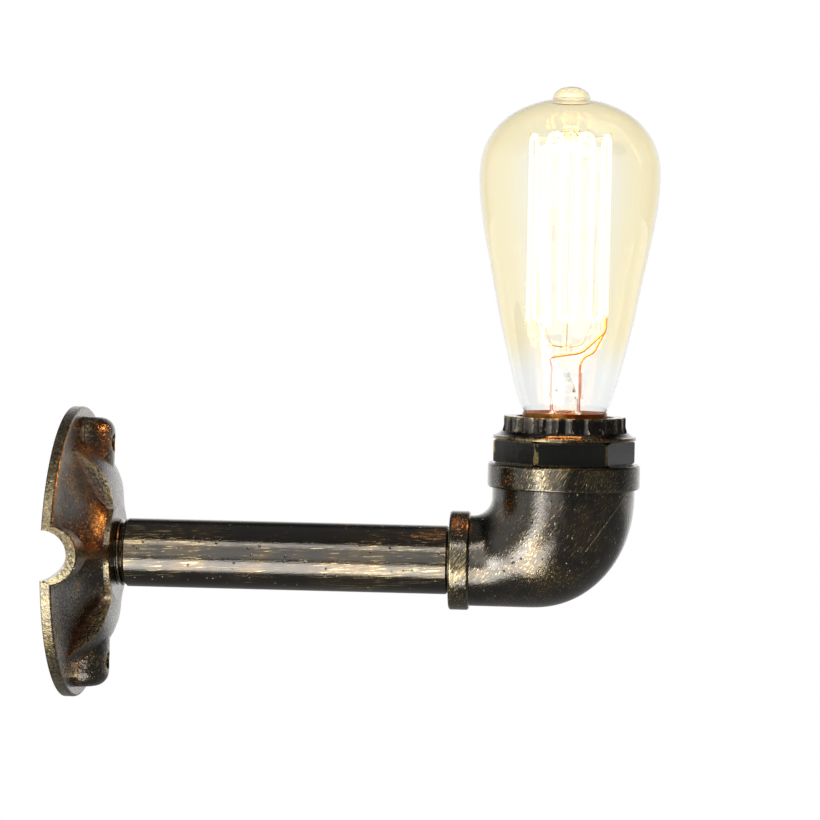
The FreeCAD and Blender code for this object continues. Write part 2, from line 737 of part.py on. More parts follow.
def make_ferrules():
    parts = []
    for sign in (-1.0, 1.0):
        end = wire_points(sign)[-1]
        long = end.x - ferrule_front - 0.1
        tube = Part.makeCylinder(ferrule_r, long, V(ferrule_front, end.y, end.z), OUT)
        bore = Part.makeCylinder(core_wire_r + 0.05, long + 1, V(ferrule_front - 0.5, end.y, end.z), OUT)
        parts.append(tube.cut(bore))
    return parts


def aimed(shape):
    """Swing the earth lug and its wire about the earth screw, clear of the recess wall."""
    shape.rotate(V(0, earth_at, 0), OUT, -lug_aim)
    return turned(shape)


def make_earth_lug():
    top = recess_depth - 0.02
    low = top - lug_terminal_thick
    y = earth_at
    root = V(top - lug_barrel_r - 0.03, y, -lug_terminal_r - 2.6)
    ring = Part.makeCylinder(lug_terminal_r, lug_terminal_thick, V(low, y, 0), OUT)
    tongue = box(low, top, y - 1.6, y + 1.6, root.z - 0.6, -1.0)
    barrel = Part.makeCylinder(lug_barrel_r, 4.0, root, V(0, 0, -1))
    lug = ring.fuse([tongue, barrel])
    lug = lug.cut(Part.makeCylinder(earth_shank_r + 0.15, 3, V(low - 1, y, 0), OUT))
    lug = lug.cut(Part.makeCylinder(earth_wire_r + 0.1, 4.6, root - UP * 0.6, V(0, 0, -1)))
    return aimed(lug)


def make_earth_screw():
    seat = recess_depth - 0.04 - lug_terminal_thick
    shank = Part.makeCylinder(earth_shank_r, earth_deep + lug_terminal_thick, V(seat, earth_at, 0), OUT)
    head = Part.makeCylinder(earth_head_r, earth_head_high, V(seat - earth_head_high, earth_at, 0), OUT)
    slot = box(seat - earth_head_high - 0.1, seat - earth_head_high + 0.7, earth_at - 4, earth_at + 4, -0.4, 0.4)
    return turned(shank.fuse(head).cut(slot))


def make_earth_wire():
    x = recess_depth - 0.05 - lug_barrel_r
    y = earth_at
    low = -lug_terminal_r - 3.4
    points = [V(x, y, low), V(x, y, low - 5.5), V(x, y - 5.0, low - 10.0), V(x, y - 11.0, low - 12.0),
              V(x, y - 17.0, low - 11.0)]
    return aimed(routed_tube(points, earth_wire_r, 7.0))


# ------------------------------------------------------------------ lamp ----
def glass_curve():
    """Outline of the envelope from the neck to the crown, in (radius, height)."""
    points = [(neck_r, neck_low), (neck_r + 0.03, 43.4), (11.8, 45.0), (12.5, 46.3), (13.5, 47.9), (14.4, 51.0), (16.0, 56.0),
              (18.4, 65.6), (20.7, 75.4), (23.4, 90.2), (25.6, 100.0), (27.1, 109.8), (bulb_r, bulb_belly_z),
              (27.2, 124.4), (25.5, 129.3), (21.9, 134.2), (19.4, 136.5), (15.4, 138.9), (11.5, 140.6), (7.6, 141.7),
              (3.8, 142.38), (0.0, glass_top)]
    curve = Part.BSplineCurve()
    curve.interpolate([V(r, 0, z) for r, z in points])
    return curve


def inset_curve(curve, wall):
    """The same outline drawn inward by the glass thickness."""
    points = []
    for p in curve.toShape().discretize(Number=40):
        t = curve.tangent(curve.parameter(p))[0].normalize()
        points.append(V(p.x - wall * t.z, 0, p.z + wall * t.x))
    if points[0].z > points[-1].z:
        points.reverse()
    points[0] = V(neck_r - wall, 0, neck_low)
    points[-1] = V(0, 0, glass_top - wall)
    inner = Part.BSplineCurve()
    inner.interpolate(points)
    return inner


def glass_solid(curve):
    low, high = curve.StartPoint, curve.EndPoint
    foot = V(0, 0, low.z)
    return revolve_edges([curve.toShape(), Part.LineSegment(high, foot).toShape(),
                          Part.LineSegment(foot, low).toShape()])


def pip_solid():
    """Sealed exhaust tip as a low cap on the crown."""
    rise = pip_top - glass_top + 1.2
    ball_r = (pip_r ** 2 + rise ** 2) / (2.0 * rise)
    ball = Part.makeSphere(ball_r, V(0, 0, pip_top - ball_r))
    return ball.common(Part.makeCylinder(pip_r + 1, 8, V(0, 0, glass_top - 1.6)))


def make_glass():
    outline = glass_curve()
    body = glass_solid(outline).fuse(pip_solid()).cut(glass_solid(inset_curve(outline, glass_wall)))
    body.translate(V(lamp_x, 0, 0))
    return body


def make_cap():
    outer = helical_solid(cap_minor_r, cap_major_r, cap_pitch, cap_thread_low, cap_thread_top, 1.6, False)
    inner = helical_solid(cap_minor_r - cap_sheet, cap_major_r - cap_sheet, cap_pitch, cap_thread_low, cap_thread_top, 1.6, False)
    body = outer.cut(inner)
    t = cap_sheet
    lap = 0.15
    side = 0.05
    skirt = revolve_z([(cap_minor_r - t - side, cap_thread_top - lap), (cap_minor_r + side, cap_thread_top - lap),
                       (cap_minor_r + side, cap_thread_top), (cap_skirt_r, cap_thread_top + 0.7),
                       (cap_skirt_r, cap_top), (cap_skirt_r - t, cap_top), (cap_skirt_r - t, cap_thread_top + 0.8),
                       (cap_minor_r - t - side, cap_thread_top + 0.15)])
    curl = revolve_z([(cap_minor_r - t - side, cap_thread_low + lap), (cap_minor_r - t - side, cap_thread_low),
                      (cap_curl_r - t, cap_curl_z + 0.3), (cap_curl_r - t, cap_curl_z),
                      (cap_curl_r + 0.2, cap_curl_z), (cap_minor_r + side, cap_thread_low),
                      (cap_minor_r + side, cap_thread_low + lap)])
    body = body.fuse([skirt, curl])
    body.translate(V(lamp_x, 0, 0))
    return body


def make_insulator():
    r = cap_curl_r - 0.1
    low = tip_z + tip_high
    return revolve_z([(1.0, low + 0.02), (tip_r + 0.4, low + 0.02), (r - 1.4, low + 2.0), (r - 0.4, cap_curl_z - 0.05),
                      (r - 0.4, cap_curl_z + 0.9), (1.0, cap_curl_z + 0.9)], lamp_x)


def make_tip():
    ball_r = (tip_r ** 2 + tip_high ** 2) / (2.0 * tip_high)
    ball = Part.makeSphere(ball_r, V(lamp_x, 0, tip_z + ball_r))
    return ball.common(Part.makeCylinder(tip_r + 1, tip_high, V(lamp_x, 0, tip_z)))


def make_stem():
    """Glass flare, tube and flat press that carry the lead wires."""
    inner = neck_r - glass_wall - 0.15
    flare = revolve_z([(inner, neck_low), (inner, neck_low + 0.9), (7.4, neck_low + 2.2), (stem_r, neck_low + 6.5),
                       (stem_r, press_top - 7.0), (stem_r - 0.9, press_top - 7.0), (stem_r - 0.9, neck_low + 6.5),
                       (6.6, neck_low + 1.7)])
    press = Part.makeBox(press_wide, press_thick, 8.0, V(-0.5 * press_wide, -0.5 * press_thick, press_top - 8.0))
    press = press.makeFillet(1.5, [e for e in press.Edges if e.BoundBox.ZLength > 1])
    cone = Part.makeCone(stem_r, 2.4, 6.0, V(0, 0, press_top - 7.5))
    body = flare.fuse([press, cone])
    for sign in (-1.0, 1.0):
        body = body.cut(Part.makeCylinder(lead_r + 0.05, 60, V(sign * lead_spread, 0, 20)))
    body = body.cut(Part.makeCylinder(post_r + 0.02, 6, V(0, 0, press_top - 3)))
    body.translate(V(lamp_x, 0, 0))
    return body


def make_post():
    low = press_top - 2.9
    rod = Part.makeCylinder(post_r, button_z - low, V(lamp_x, 0, low))
    bead = Part.makeCylinder(button_r, 2.6, V(lamp_x, 0, button_z - 1.0))
    bead = bead.makeFillet(1.0, [e for e in bead.Edges if is_circle(e, button_r)])
    hub = Part.makeCylinder(button_r - 0.7, 2.2, V(lamp_x, 0, lower_hub_z - 1.1))
    hub = hub.makeFillet(0.8, [e for e in hub.Edges if is_circle(e, button_r - 0.7)])
    post = rod.fuse([bead, hub])
    for route in support_routes(True) + support_routes(False):
        post = post.cut(Part.makeCylinder(hook_r + 0.02, 4, route[0], route[1] - route[0]))
    return post


def strand_place(i):
    a = 2.0 * math.pi * (i + 0.5) / cage_strands
    return V(lamp_x + cage_r * math.cos(a), cage_r * math.sin(a), 0)


def make_filament():
    """One wire up and down around the cage, open at the front of its first strand."""
    places = [strand_place(i) for i in range(cage_strands)]
    pitch = (places[1] - places[0]).Length
    high, low = cage_top - 0.5 * pitch, cage_low + 0.5 * pitch
    edges = []
    for i, p in enumerate(places):
        z0, z1 = (low, high) if i % 2 == 0 else (high, low)
        edges.append(Part.LineSegment(p + UP * z0, p + UP * z1).toShape())
        if i + 1 < cage_strands:
            q = places[i + 1]
            peak = (p + q) * 0.5 + UP * (cage_top if i % 2 == 0 else cage_low)
            edges.append(Part.Arc(p + UP * z1, peak, q + UP * z1).toShape())
    path = Part.Wire(edges)
    ring = Part.Wire([Part.Circle(places[0] + UP * low, UP, filament_r).toShape()])
    return path.makePipeShell([ring], True, False)


def support_routes(upper):
    """Routes of the hooked wires from the post to each turn of the filament."""
    gap = filament_r + hook_r + 0.08
    centre = V(lamp_x, 0, 0)
    routes = []
    for i in range(cage_strands - 1):
        if (i % 2 == 0) != upper:
            continue
        mid = (strand_place(i) + strand_place(i + 1)) * 0.5 - centre
        reach = mid.Length
        way = mid.normalize()
        if upper:
            z = cage_top - gap
            routes.append([centre + way * (button_r - 0.9) + UP * (button_z + 0.3),
                           centre + way * (reach * 0.55) + UP * (z - 0.2),
                           centre + way * (reach + 0.9) + UP * z, centre + way * (reach + 1.1) + UP * (z + 1.4)])
        else:
            z = cage_low + gap
            routes.append([centre + way * (button_r - 1.5) + UP * lower_hub_z,
                           centre + way * (reach * 0.55) + UP * (lower_hub_z + 1.0),
                           centre + way * (reach - 1.0) + UP * z, centre + way * (reach + 0.9) + UP * z,
                           centre + way * (reach + 1.1) + UP * (z - 1.4)])
    return routes


def make_supports(upper):
    return [routed_tube(route, hook_r, 1.2) for route in support_routes(upper)]


def make_leads():
    """Two lead wires up through the press to the ends of the filament."""
    parts = []
    end_z = cage_low + 1.2
    for sign, strand, sideways in ((1.0, 0, 1.5), (-1.0, cage_strands - 1, -5.5)):
        end = strand_place(strand)
        x = lamp_x + sign * lead_spread
        points = [V(x, 0, lead_low), V(x, 0, press_top + 2.3), V(x + sign, sideways, press_top + 4.6),
                  V(0.45 * x + 0.55 * end.x, sideways * 1.1, press_top + 6.2), V(end.x, end.y, end_z - 4.0),
                  V(end.x, end.y, end_z)]
        parts.append(routed_tube(points, lead_r, 4.0))
    return parts


def export(name, shape):
    """Write one node; a list is several solids of one node."""
    solids = shape if isinstance(shape, list) else [shape]
    found = []
    for one in solids:
        found += one.Solids
    result = found[0] if len(found) == 1 else Part.makeCompound(found)
    span = result.optimalBoundingBox(False, False)
    print(name, len(found), "solids", "valid" if result.isValid() else "INVALID", round(result.Volume, 2),
          [round(v, 1) for v in (span.XMin, span.XMax, span.YMin, span.YMax, span.ZMin, span.ZMax)])
    result.exportStep("parts/" + name + ".step")


os.makedirs("parts", exist_ok=True)
export("wall_flange", make_flange())
export("pipe_arm", make_pipe())
export("reducing_elbow", make_elbow())
export("hex_sleeve", make_sleeve())
export("fluted_ring", make_ring())
export("ring_washer", make_washer())
export("holder_core", make_core())
export("screw_shell", make_shell())
export("shell_rivets", make_shell_rivets())
export("side_contact", make_side_contact())
export("contact_foot", make_contact_foot())
export("centre_contact", make_centre_contact())
export("contact_rivet", make_contact_rivet())
export("terminal_blocks", make_terminal_blocks())
export("terminal_screws", make_terminal_screws())
export("live_wire", make_wire(-1.0))
export("neutral_wire", make_wire(1.0))
export("wire_ferrules", make_ferrules())
export("earth_lug", make_earth_lug())
export("earth_screw", make_earth_screw())
export("earth_wire", make_earth_wire())
export("bulb_glass", make_glass())
export("bulb_cap", make_cap())
export("cap_insulator", make_insulator())
export("cap_contact", make_tip())
export("bulb_stem", make_stem())
export("centre_post", make_post())
export("lead_wires", make_leads())
export("upper_supports", make_supports(True))
export("lower_supports", make_supports(False))
export("filament", make_filament())
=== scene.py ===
import logging
import math
from dataclasses import dataclass
from enum import Enum
from typing import Any

import bpy
from mathutils import Matrix, Vector


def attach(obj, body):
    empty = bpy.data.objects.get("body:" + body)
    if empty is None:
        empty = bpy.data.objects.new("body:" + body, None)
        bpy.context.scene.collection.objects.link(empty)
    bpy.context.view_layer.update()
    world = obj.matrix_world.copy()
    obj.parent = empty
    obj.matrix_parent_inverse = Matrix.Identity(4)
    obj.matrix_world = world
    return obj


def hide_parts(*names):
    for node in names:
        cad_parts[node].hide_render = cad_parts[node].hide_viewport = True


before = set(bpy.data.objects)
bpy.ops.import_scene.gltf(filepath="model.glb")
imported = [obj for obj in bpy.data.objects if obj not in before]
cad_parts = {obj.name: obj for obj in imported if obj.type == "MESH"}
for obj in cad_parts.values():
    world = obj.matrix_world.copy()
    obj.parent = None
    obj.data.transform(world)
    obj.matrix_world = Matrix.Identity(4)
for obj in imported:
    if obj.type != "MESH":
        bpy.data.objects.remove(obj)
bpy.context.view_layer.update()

log = logging.getLogger("pipe_wall_light")
logging.basicConfig(level=logging.INFO, format="%(name)s: %(message)s")

MM = 0.001
PHOTO_PIXELS = 820
LAMP_AXIS_MM = 152.7
WHITE = (1.0, 1.0, 1.0, 1.0)
BLACK = (0.0, 0.0, 0.0, 1.0)
SMOOTH = "SMOOTHSTEP"

Socket = bpy.types.NodeSocket
Node = bpy.types.Node
Tree = bpy.types.ShaderNodeTree
Colour = tuple[float, float, float, float]
Triple = tuple[float, float, float]
Pair = tuple[float, float]


# ---------------------------------------------------------------- small tools


def linear(code: str) -> Colour:
    """Turn an sRGB hex colour into the linear colour that shaders use.

    Args:
        code: Six hex digits after a hash, such as "#b79a5a".

    Returns:
        Red, green, blue and an alpha of 1, all linear.
    """
    parts = [int(code[i:i + 2], 16) / 255.0 for i in (1, 3, 5)]
    out = [c / 12.92 if c <= 0.04045 else ((c + 0.055) / 1.055) ** 2.4 for c in parts]
    return (out[0], out[1], out[2], 1.0)


def add_node(tree: Tree, kind: str, inputs: dict[Any, Any] | tuple[Any, ...] = (), **settings: Any) -> Node:
    """Add one shader node, set its options and join or fill its inputs.

    Args:
        tree: The node tree that gets the node.
        kind: The node's Blender type without its prefix, such as "TexNoise".
        inputs: What feeds the inputs, in their order or by name or number. A node gives its first output.
        **settings: Options set on the node itself.

    Returns:
        The new node.
    """
    node = tree.nodes.new("ShaderNode" + kind)
    for name, value in settings.items():
        setattr(node, name, value.value if isinstance(value, Enum) else value)
    for key, value in inputs.items() if isinstance(inputs, dict) else enumerate(inputs):
        if isinstance(value, bpy.types.Node):
            tree.links.new(value.outputs[0], node.inputs[key])
        elif isinstance(value, bpy.types.NodeSocket):
            tree.links.new(value, node.inputs[key])
        else:
            node.inputs[key].default_value = value
    return node


class Sum(Enum):
    """How two values are put together."""

    TIMES = "MULTIPLY"
    PLUS = "ADD"
    LESS = "SUBTRACT"
    LARGER = "MAXIMUM"


class Along(Enum):
    """What a zone on the object is measured along."""

    OUT = "X"
    HIGH = "Z"
    AROUND_PIPE = "distance from the pipe's axis"
    AROUND_LAMP = "distance from the lamp's axis"


@dataclass(frozen=True)
class Zone:
    """A part of a casting that the brush met more or less often, between two distances in millimetres."""

    along: Along
    low_mm: float
    high_mm: float
    gain: float
    soft_mm: float = 0.6


@dataclass(frozen=True)
class CastRing:
    """A small raised ring left by the mould on the near face of a casting."""

    out_mm: float
    high_mm: float
    radius_mm: float
    width_mm: float = 0.32


@dataclass(frozen=True)
class CastSeam:
    """A thin raised line across the near face of a casting, between two places."""

    start_mm: Pair
    end_mm: Pair
    width_mm: float = 0.22
    soft_end_mm: float = 0.5


class Patterns:
    """Places, grains and worn spots on a piece, all in its own millimetres, that the finishes share."""

    near_side_mm: Pair = (-6.0, -3.0)
    edge_light: Pair = (0.58, 0.93)
    hollow_light: Pair = (0.45, 0.9)

    def __init__(self, tree: Tree) -> None:
        """Start from the object's own coordinates.

        Args:
            tree: The material's node tree.
        """
        self.tree = tree
        self.place = add_node(tree, "TexCoord").outputs["Object"]

    def mapped(self, per_mm: Triple, turn: Triple = (0.0, 0.0, 0.0)) -> Node:
        """Turn and stretch the coordinates for a pattern.

        Args:
            per_mm: Pattern units in one millimetre along each axis.
            turn: Turn about each axis in radians, before the stretch.

        Returns:
            The node that gives the coordinates.
        """
        turned = add_node(self.tree, "Mapping", {"Vector": self.place, "Rotation": turn})
        return add_node(self.tree, "Mapping", {"Vector": turned, "Scale": tuple(s / MM for s in per_mm)})

    def cloud(self, per_mm: Triple, turn: Triple = (0.0, 0.0, 0.0), detail: float = 3.0, rough: float = 0.6,
              distort: float = 0.0) -> Node:
        """Lay a cloudy grain of a real size over the piece.

        Args:
            per_mm: Grains in one millimetre along each axis.
            turn: Turn about each axis in radians.
            detail: How many finer layers lie on the first.
            rough: How strong each finer layer is.
            distort: How far the grain is pulled about.

        Returns:
            The node that gives values from 0 to 1.
        """
        return add_node(self.tree, "TexNoise", {"Vector": self.mapped(per_mm, turn), "Scale": 1.0, "Detail": detail,
                                                "Roughness": rough, "Distortion": distort})

    def measure(self, along: Along) -> Socket:
        """Measure a place on the object.

        Args:
            along: An axis to measure along, or an axis to measure away from.

        Returns:
            The distance in metres.
        """
        if along in (Along.OUT, Along.HIGH):
            return add_node(self.tree, "SeparateXYZ", (self.place,)).outputs[along.value]
        keep = (0.0, 1.0, 1.0) if along is Along.AROUND_PIPE else (1.0, 1.0, 0.0)
        axis = (0.0, 0.0, 0.0) if along is Along.AROUND_PIPE else (-LAMP_AXIS_MM * MM, 0.0, 0.0)
        moved = add_node(self.tree, "Mapping", {"Vector": self.place, "Location": axis})
        flat = add_node(self.tree, "Mapping", {"Vector": moved, "Scale": keep})
        return add_node(self.tree, "VectorMath", (flat,), operation="LENGTH").outputs["Value"]

    def zone(self, zone: Zone) -> Node:
        """Mark a zone with its gain.

        Args:
            zone: The zone.

        Returns:
            The node that gives the zone's gain inside it, and 0 outside, with soft borders.
        """
        value = self.measure(zone.along)
        low, high, soft = zone.low_mm * MM, zone.high_mm * MM, zone.soft_mm * MM
        rise = add_node(self.tree, "MapRange", (value, low - soft, low + soft), interpolation_type=SMOOTH)
        fall = add_node(self.tree, "MapRange", (value, high - soft, high + soft, 1.0, 0.0), interpolation_type=SMOOTH)
        inside = add_node(self.tree, "Math", (rise, fall), operation=Sum.TIMES)
        return add_node(self.tree, "Math", (inside, zone.gain), operation=Sum.TIMES)

    def beside(self, place_mm: Pair) -> Node:
        """Move the coordinates so that they start at a place on the near face.

        Args:
            place_mm: Distance out and height.

        Returns:
            The node that gives the coordinates.
        """
        return add_node(self.tree, "Mapping", {"Vector": self.place,
                                               "Location": (-place_mm[0] * MM, 0.0, -place_mm[1] * MM)})

    def ring(self, mark: CastRing) -> Node:
        """Mark a cast ring.

        Args:
            mark: The ring.

        Returns:
            The node that gives 1 on the ring and 0 away from it.
        """
        flat = add_node(self.tree, "Mapping", {"Vector": self.beside((mark.out_mm, mark.high_mm)),
                                               "Scale": (1.0, 0.0, 1.0)})
        away = add_node(self.tree, "VectorMath", (flat,), operation="LENGTH").outputs["Value"]
        off = add_node(self.tree, "Math", (away, mark.radius_mm * MM), operation=Sum.LESS)
        return self.near(off, mark.width_mm)

    def seam(self, line: CastSeam) -> Node:
        """Mark a cast seam.

        Args:
            line: The seam.

        Returns:
            The node that gives 1 on the seam, and 0 away from it and past its ends.
        """
        run = Vector(line.end_mm) - Vector(line.start_mm)
        soft, end = line.soft_end_mm * MM, run.length * MM
        laid = add_node(self.tree, "Mapping", {"Vector": self.beside(line.start_mm),
                                               "Rotation": (0.0, math.atan2(run.y, run.x), 0.0)})
        parts = add_node(self.tree, "SeparateXYZ", (laid,)).outputs
        started = add_node(self.tree, "MapRange", (parts["X"], -soft, soft), interpolation_type=SMOOTH)
        ending = add_node(self.tree, "MapRange", (parts["X"], end - soft, end + soft, 1.0, 0.0),
                          interpolation_type=SMOOTH)
        inside = add_node(self.tree, "Math", (started, ending), operation=Sum.TIMES, use_clamp=True)
        return add_node(self.tree, "Math", (inside, self.near(parts["Z"], line.width_mm)), operation=Sum.TIMES,
                        use_clamp=True)

    def near(self, off: Node | Socket, width_mm: float) -> Node:
        """Draw a line on the near side of the piece, where a distance is about zero.

        Args:
            off: A signed distance from the line, in metres.
            width_mm: Where the line has faded out.

        Returns:
            The node that gives 1 on the line and 0 past its width.
        """
        size = add_node(self.tree, "Math", (off,), operation="ABSOLUTE")
        low, high = (d * MM for d in self.near_side_mm)
        depth = add_node(self.tree, "SeparateXYZ", (self.place,)).outputs["Y"]
        front = add_node(self.tree, "MapRange", (depth, low, high, 1.0, 0.0), interpolation_type=SMOOTH)
        line = add_node(self.tree, "MapRange", (size, 0.3 * width_mm * MM, width_mm * MM, 1.0, 0.0),
                        interpolation_type=SMOOTH)
        return add_node(self.tree, "Math", (front, line), operation=Sum.TIMES, use_clamp=True)

    def rubbed_edge(self, reach_mm: float) -> Node:
        """Find the edges that stand out and are rubbed bare.

        Args:
            reach_mm: How far the wear reaches from an edge.

        Returns:
            The node that gives 1 on such edges, and 0 on flat or hollow places.
        """
        inside = add_node(self.tree, "AmbientOcclusion", {"Distance": reach_mm * MM}, inside=True, samples=6,
                          only_local=True).outputs["AO"]
        return add_node(self.tree, "MapRange", (inside, *self.edge_light, 1.0, 0.0), interpolation_type=SMOOTH)

    def hollow(self, reach_mm: float) -> Node:
        """Find the corners and hollows, which hold less gold and carry the finish's painted hollow colour: painted
        shade by default, a painted orange lamp glow on the flange.

        Args:
            reach_mm: The size of the hollows.

        Returns:
            The node that gives 1 deep in such places and 0 in the open.
        """
        open_air = add_node(self.tree, "AmbientOcclusion", {"Distance": reach_mm * MM}, samples=6,
                            only_local=True).outputs["AO"]
        return add_node(self.tree, "MapRange", (open_air, *self.hollow_light, 1.0, 0.0), interpolation_type=SMOOTH)


class Finish:
    """A finish that is made into a material once and used on many pieces."""

    label: str

    def nodes(self, tree: Tree) -> Node:
        """Build the finish's nodes and return the surface shader."""
        raise NotImplementedError

    def material(self) -> bpy.types.Material:
        """Make the material, or find it if it is already there.

        Returns:
            The material.
        """
        found = bpy.data.materials.get(self.label)
        if found is not None:
            return found
        made = bpy.data.materials.new(self.label)
        made.use_nodes = True
        made.node_tree.nodes.clear()
        add_node(made.node_tree, "OutputMaterial", {"Surface": self.nodes(made.node_tree)})
        return made


# ------------------------------------------------------------------- finishes


@dataclass(frozen=True)
class AntiquedIron(Finish):
    """Black bronze lacquer on cast iron, dry-brushed with pale gold and rubbed bright on its edges.

    The lacquer is glossy and nearly black, so the eye sees the lamps mirrored in it. The gold is a thin
    broken coat that the brush drags into short strokes, over a fainter haze of finer ones. The sand grain
    and the pits of the casting break up the gloss.
    """

    label: str = "antiqued black iron"
    lacquer: str = "#433f39"
    brown: str = "#55483a"
    gold: str = "#a08d5e"
    bright: str = "#d3c596"
    grain_mm: float = 0.9
    grain_depth_mm: float = 0.05
    stroke_mm: Triple = (0.34, 0.34, 2.4)
    stroke_turn: Triple = (0.0, -0.55, 0.0)
    stroke_depth_mm: float = 0.04
    cover: float = 0.65
    haze: float = 0.24
    haze_spread: float = 0.16
    stroke_spread: float = 0.05
    full_gold: float = 0.9
    patch_mm: float = 12.0
    patch_gain: float = 0.08
    edge_mm: float = 1.2
    edge_gold: float = 0.85
    edge_wear: Pair = (0.36, 0.56)
    lacquer_rough: float = 0.20
    gold_rough: float = 0.12
    coat_rough: float = 0.09
    hollow_mm: float = 2.0
    # Painted hollow colour: a painted shade here; the flange sets it to a painted orange lamp glow.
    painted_hollow_light: str = "#2a2622"
    hollow_rough: float = 0.0
    pits_per_mm: float = 0.34
    pit_depth_mm: float = 0.16
    mark_depth_mm: float = 0.45
    plain_below_mm: float = -10.0
    plain_rough: float = 0.6
    zones: tuple[Zone, ...] = ()
    marks: tuple[CastRing | CastSeam, ...] = ()

    def brushed_gold(self, p: Patterns, grain: Node, drag: Node, raised: list[Node]) -> Node:
        """Lay the gold: strokes, haze between them, rubbed edges and the tops of the casting's marks.

        Args:
            p: The material's patterns.
            grain: The casting's sand grain.
            drag: The brush's strokes, with more or less gold in patches.
            raised: The casting's marks.

        Returns:
            The node that gives the share of gold, from 0 to 1.
        """
        tree, full = p.tree, self.cover + self.stroke_spread
        for zone in self.zones:
            drag = add_node(tree, "Math", (drag, p.zone(zone)), operation=Sum.PLUS)
        haze = add_node(tree, "MapRange", (drag, self.cover - self.haze_spread, self.cover, 0.0, self.haze),
                        interpolation_type=SMOOTH)
        strokes = add_node(tree, "MapRange", (drag, self.cover, full, 0.0, self.full_gold - self.haze),
                           interpolation_type=SMOOTH)
        brushed = add_node(tree, "Math", (haze, strokes), operation=Sum.PLUS, use_clamp=True)
        broken = add_node(tree, "MapRange", (grain, *self.edge_wear), interpolation_type=SMOOTH)
        edge = add_node(tree, "Math", (p.rubbed_edge(self.edge_mm), broken), operation=Sum.TIMES, use_clamp=True)
        worn = add_node(tree, "Math", (edge, self.edge_gold), operation=Sum.TIMES, use_clamp=True)
        gold = add_node(tree, "Math", (brushed, worn), operation=Sum.LARGER, use_clamp=True)
        for mark in raised:
            broken = add_node(tree, "MapRange", (grain, 0.3, 0.5, 0.3, 0.9), interpolation_type=SMOOTH)
            top = add_node(tree, "Math", (mark, broken), operation=Sum.TIMES, use_clamp=True)
            gold = add_node(tree, "Math", (gold, top), operation=Sum.LARGER, use_clamp=True)
        return gold

    def relief(self, p: Patterns, grain: Node, stroke: Node, raised: list[Node]) -> Node:
        """Raise the sand grain, the brush strokes, the pits and the casting's marks.

        Args:
            p: The material's patterns.
            grain: The casting's sand grain.
            stroke: The brush's strokes.
            raised: The casting's marks.

        Returns:
            The node that gives the surface's normal.
        """
        tree = p.tree
        bumped = add_node(tree, "Bump", {"Height": grain, "Distance": self.grain_depth_mm * MM})
        bumped = add_node(tree, "Bump", {"Height": stroke, "Distance": self.stroke_depth_mm * MM, "Strength": 0.8,
                                         "Normal": bumped})
        pits = add_node(tree, "TexVoronoi", {"Vector": p.mapped((self.pits_per_mm,) * 3), "Scale": 1.0})
        pit = add_node(tree, "MapRange", (pits, 0.04, 0.16), interpolation_type=SMOOTH)
        bumped = add_node(tree, "Bump", {"Height": pit, "Distance": self.pit_depth_mm * MM, "Normal": bumped})
        for mark in raised:
            bumped = add_node(tree, "Bump", {"Height": mark, "Distance": self.mark_depth_mm * MM, "Normal": bumped})
        return bumped

    def nodes(self, tree: Tree) -> Node:
        """Build the lacquer, its gold, its grain and its gloss.

        Args:
            tree: The material's node tree.

        Returns:
            The surface shader.
        """
        p = Patterns(tree)
        grain = p.cloud((1.0 / self.grain_mm,) * 3)
        patch = p.cloud((1.0 / self.patch_mm,) * 3)
        stroke = p.cloud(tuple(1.0 / s for s in self.stroke_mm), self.stroke_turn, rough=0.62, distort=0.3)
        heavy = add_node(tree, "MapRange", (patch, 0.3, 0.7, -self.patch_gain, self.patch_gain),
                         interpolation_type=SMOOTH)
        drag = add_node(tree, "Math", (heavy, stroke), operation=Sum.PLUS)
        raised = [p.ring(m) if isinstance(m, CastRing) else p.seam(m) for m in self.marks]
        gold = self.brushed_gold(p, grain, drag, raised)
        # Hollows hold less gold. Painted light: the same occlusion mask also tints them towards a painted shade
        # colour; the flange sets that colour to a painted orange lamp glow.
        deep = p.hollow(self.hollow_mm)
        missed = add_node(tree, "Math", (deep, 0.5), operation=Sum.TIMES, use_clamp=True)
        kept = add_node(tree, "Math", (1.0, missed), operation=Sum.LESS, use_clamp=True)
        gold = add_node(tree, "Math", (gold, kept), operation=Sum.TIMES, use_clamp=True)
        # The face that lies on the wall is plain and matt.
        start = self.plain_below_mm * MM
        plain = add_node(tree, "MapRange", (p.measure(Along.OUT), start, start + 0.3 * MM, 1.0, 0.0),
                         interpolation_type=SMOOTH)
        gold = add_node(tree, "Math", (gold, plain), operation=Sum.LESS, use_clamp=True)

        browned = add_node(tree, "MapRange", (patch, 0.45, 0.68), interpolation_type=SMOOTH)
        under = add_node(tree, "Mix", {0: browned, 6: linear(self.lacquer), 7: linear(self.brown)},
                         data_type="RGBA").outputs[2]
        # Painted light: hollows are tinted by their occlusion towards the painted hollow colour (painted shade,
        # painted lamp glow on the flange).
        painted_hollow_share = add_node(tree, "Math", (deep, 0.8), operation=Sum.TIMES, use_clamp=True)
        under = add_node(tree, "Mix", {0: painted_hollow_share, 6: under, 7: linear(self.painted_hollow_light)}, data_type="RGBA").outputs[2]
        thick = add_node(tree, "MapRange", (stroke, self.cover - 0.1, self.cover + 0.08), interpolation_type=SMOOTH)
        shade = add_node(tree, "Mix", {0: thick, 6: linear(self.gold), 7: linear(self.bright)},
                         data_type="RGBA").outputs[2]
        colour = add_node(tree, "Mix", {0: gold, 6: under, 7: shade}, data_type="RGBA").outputs[2]

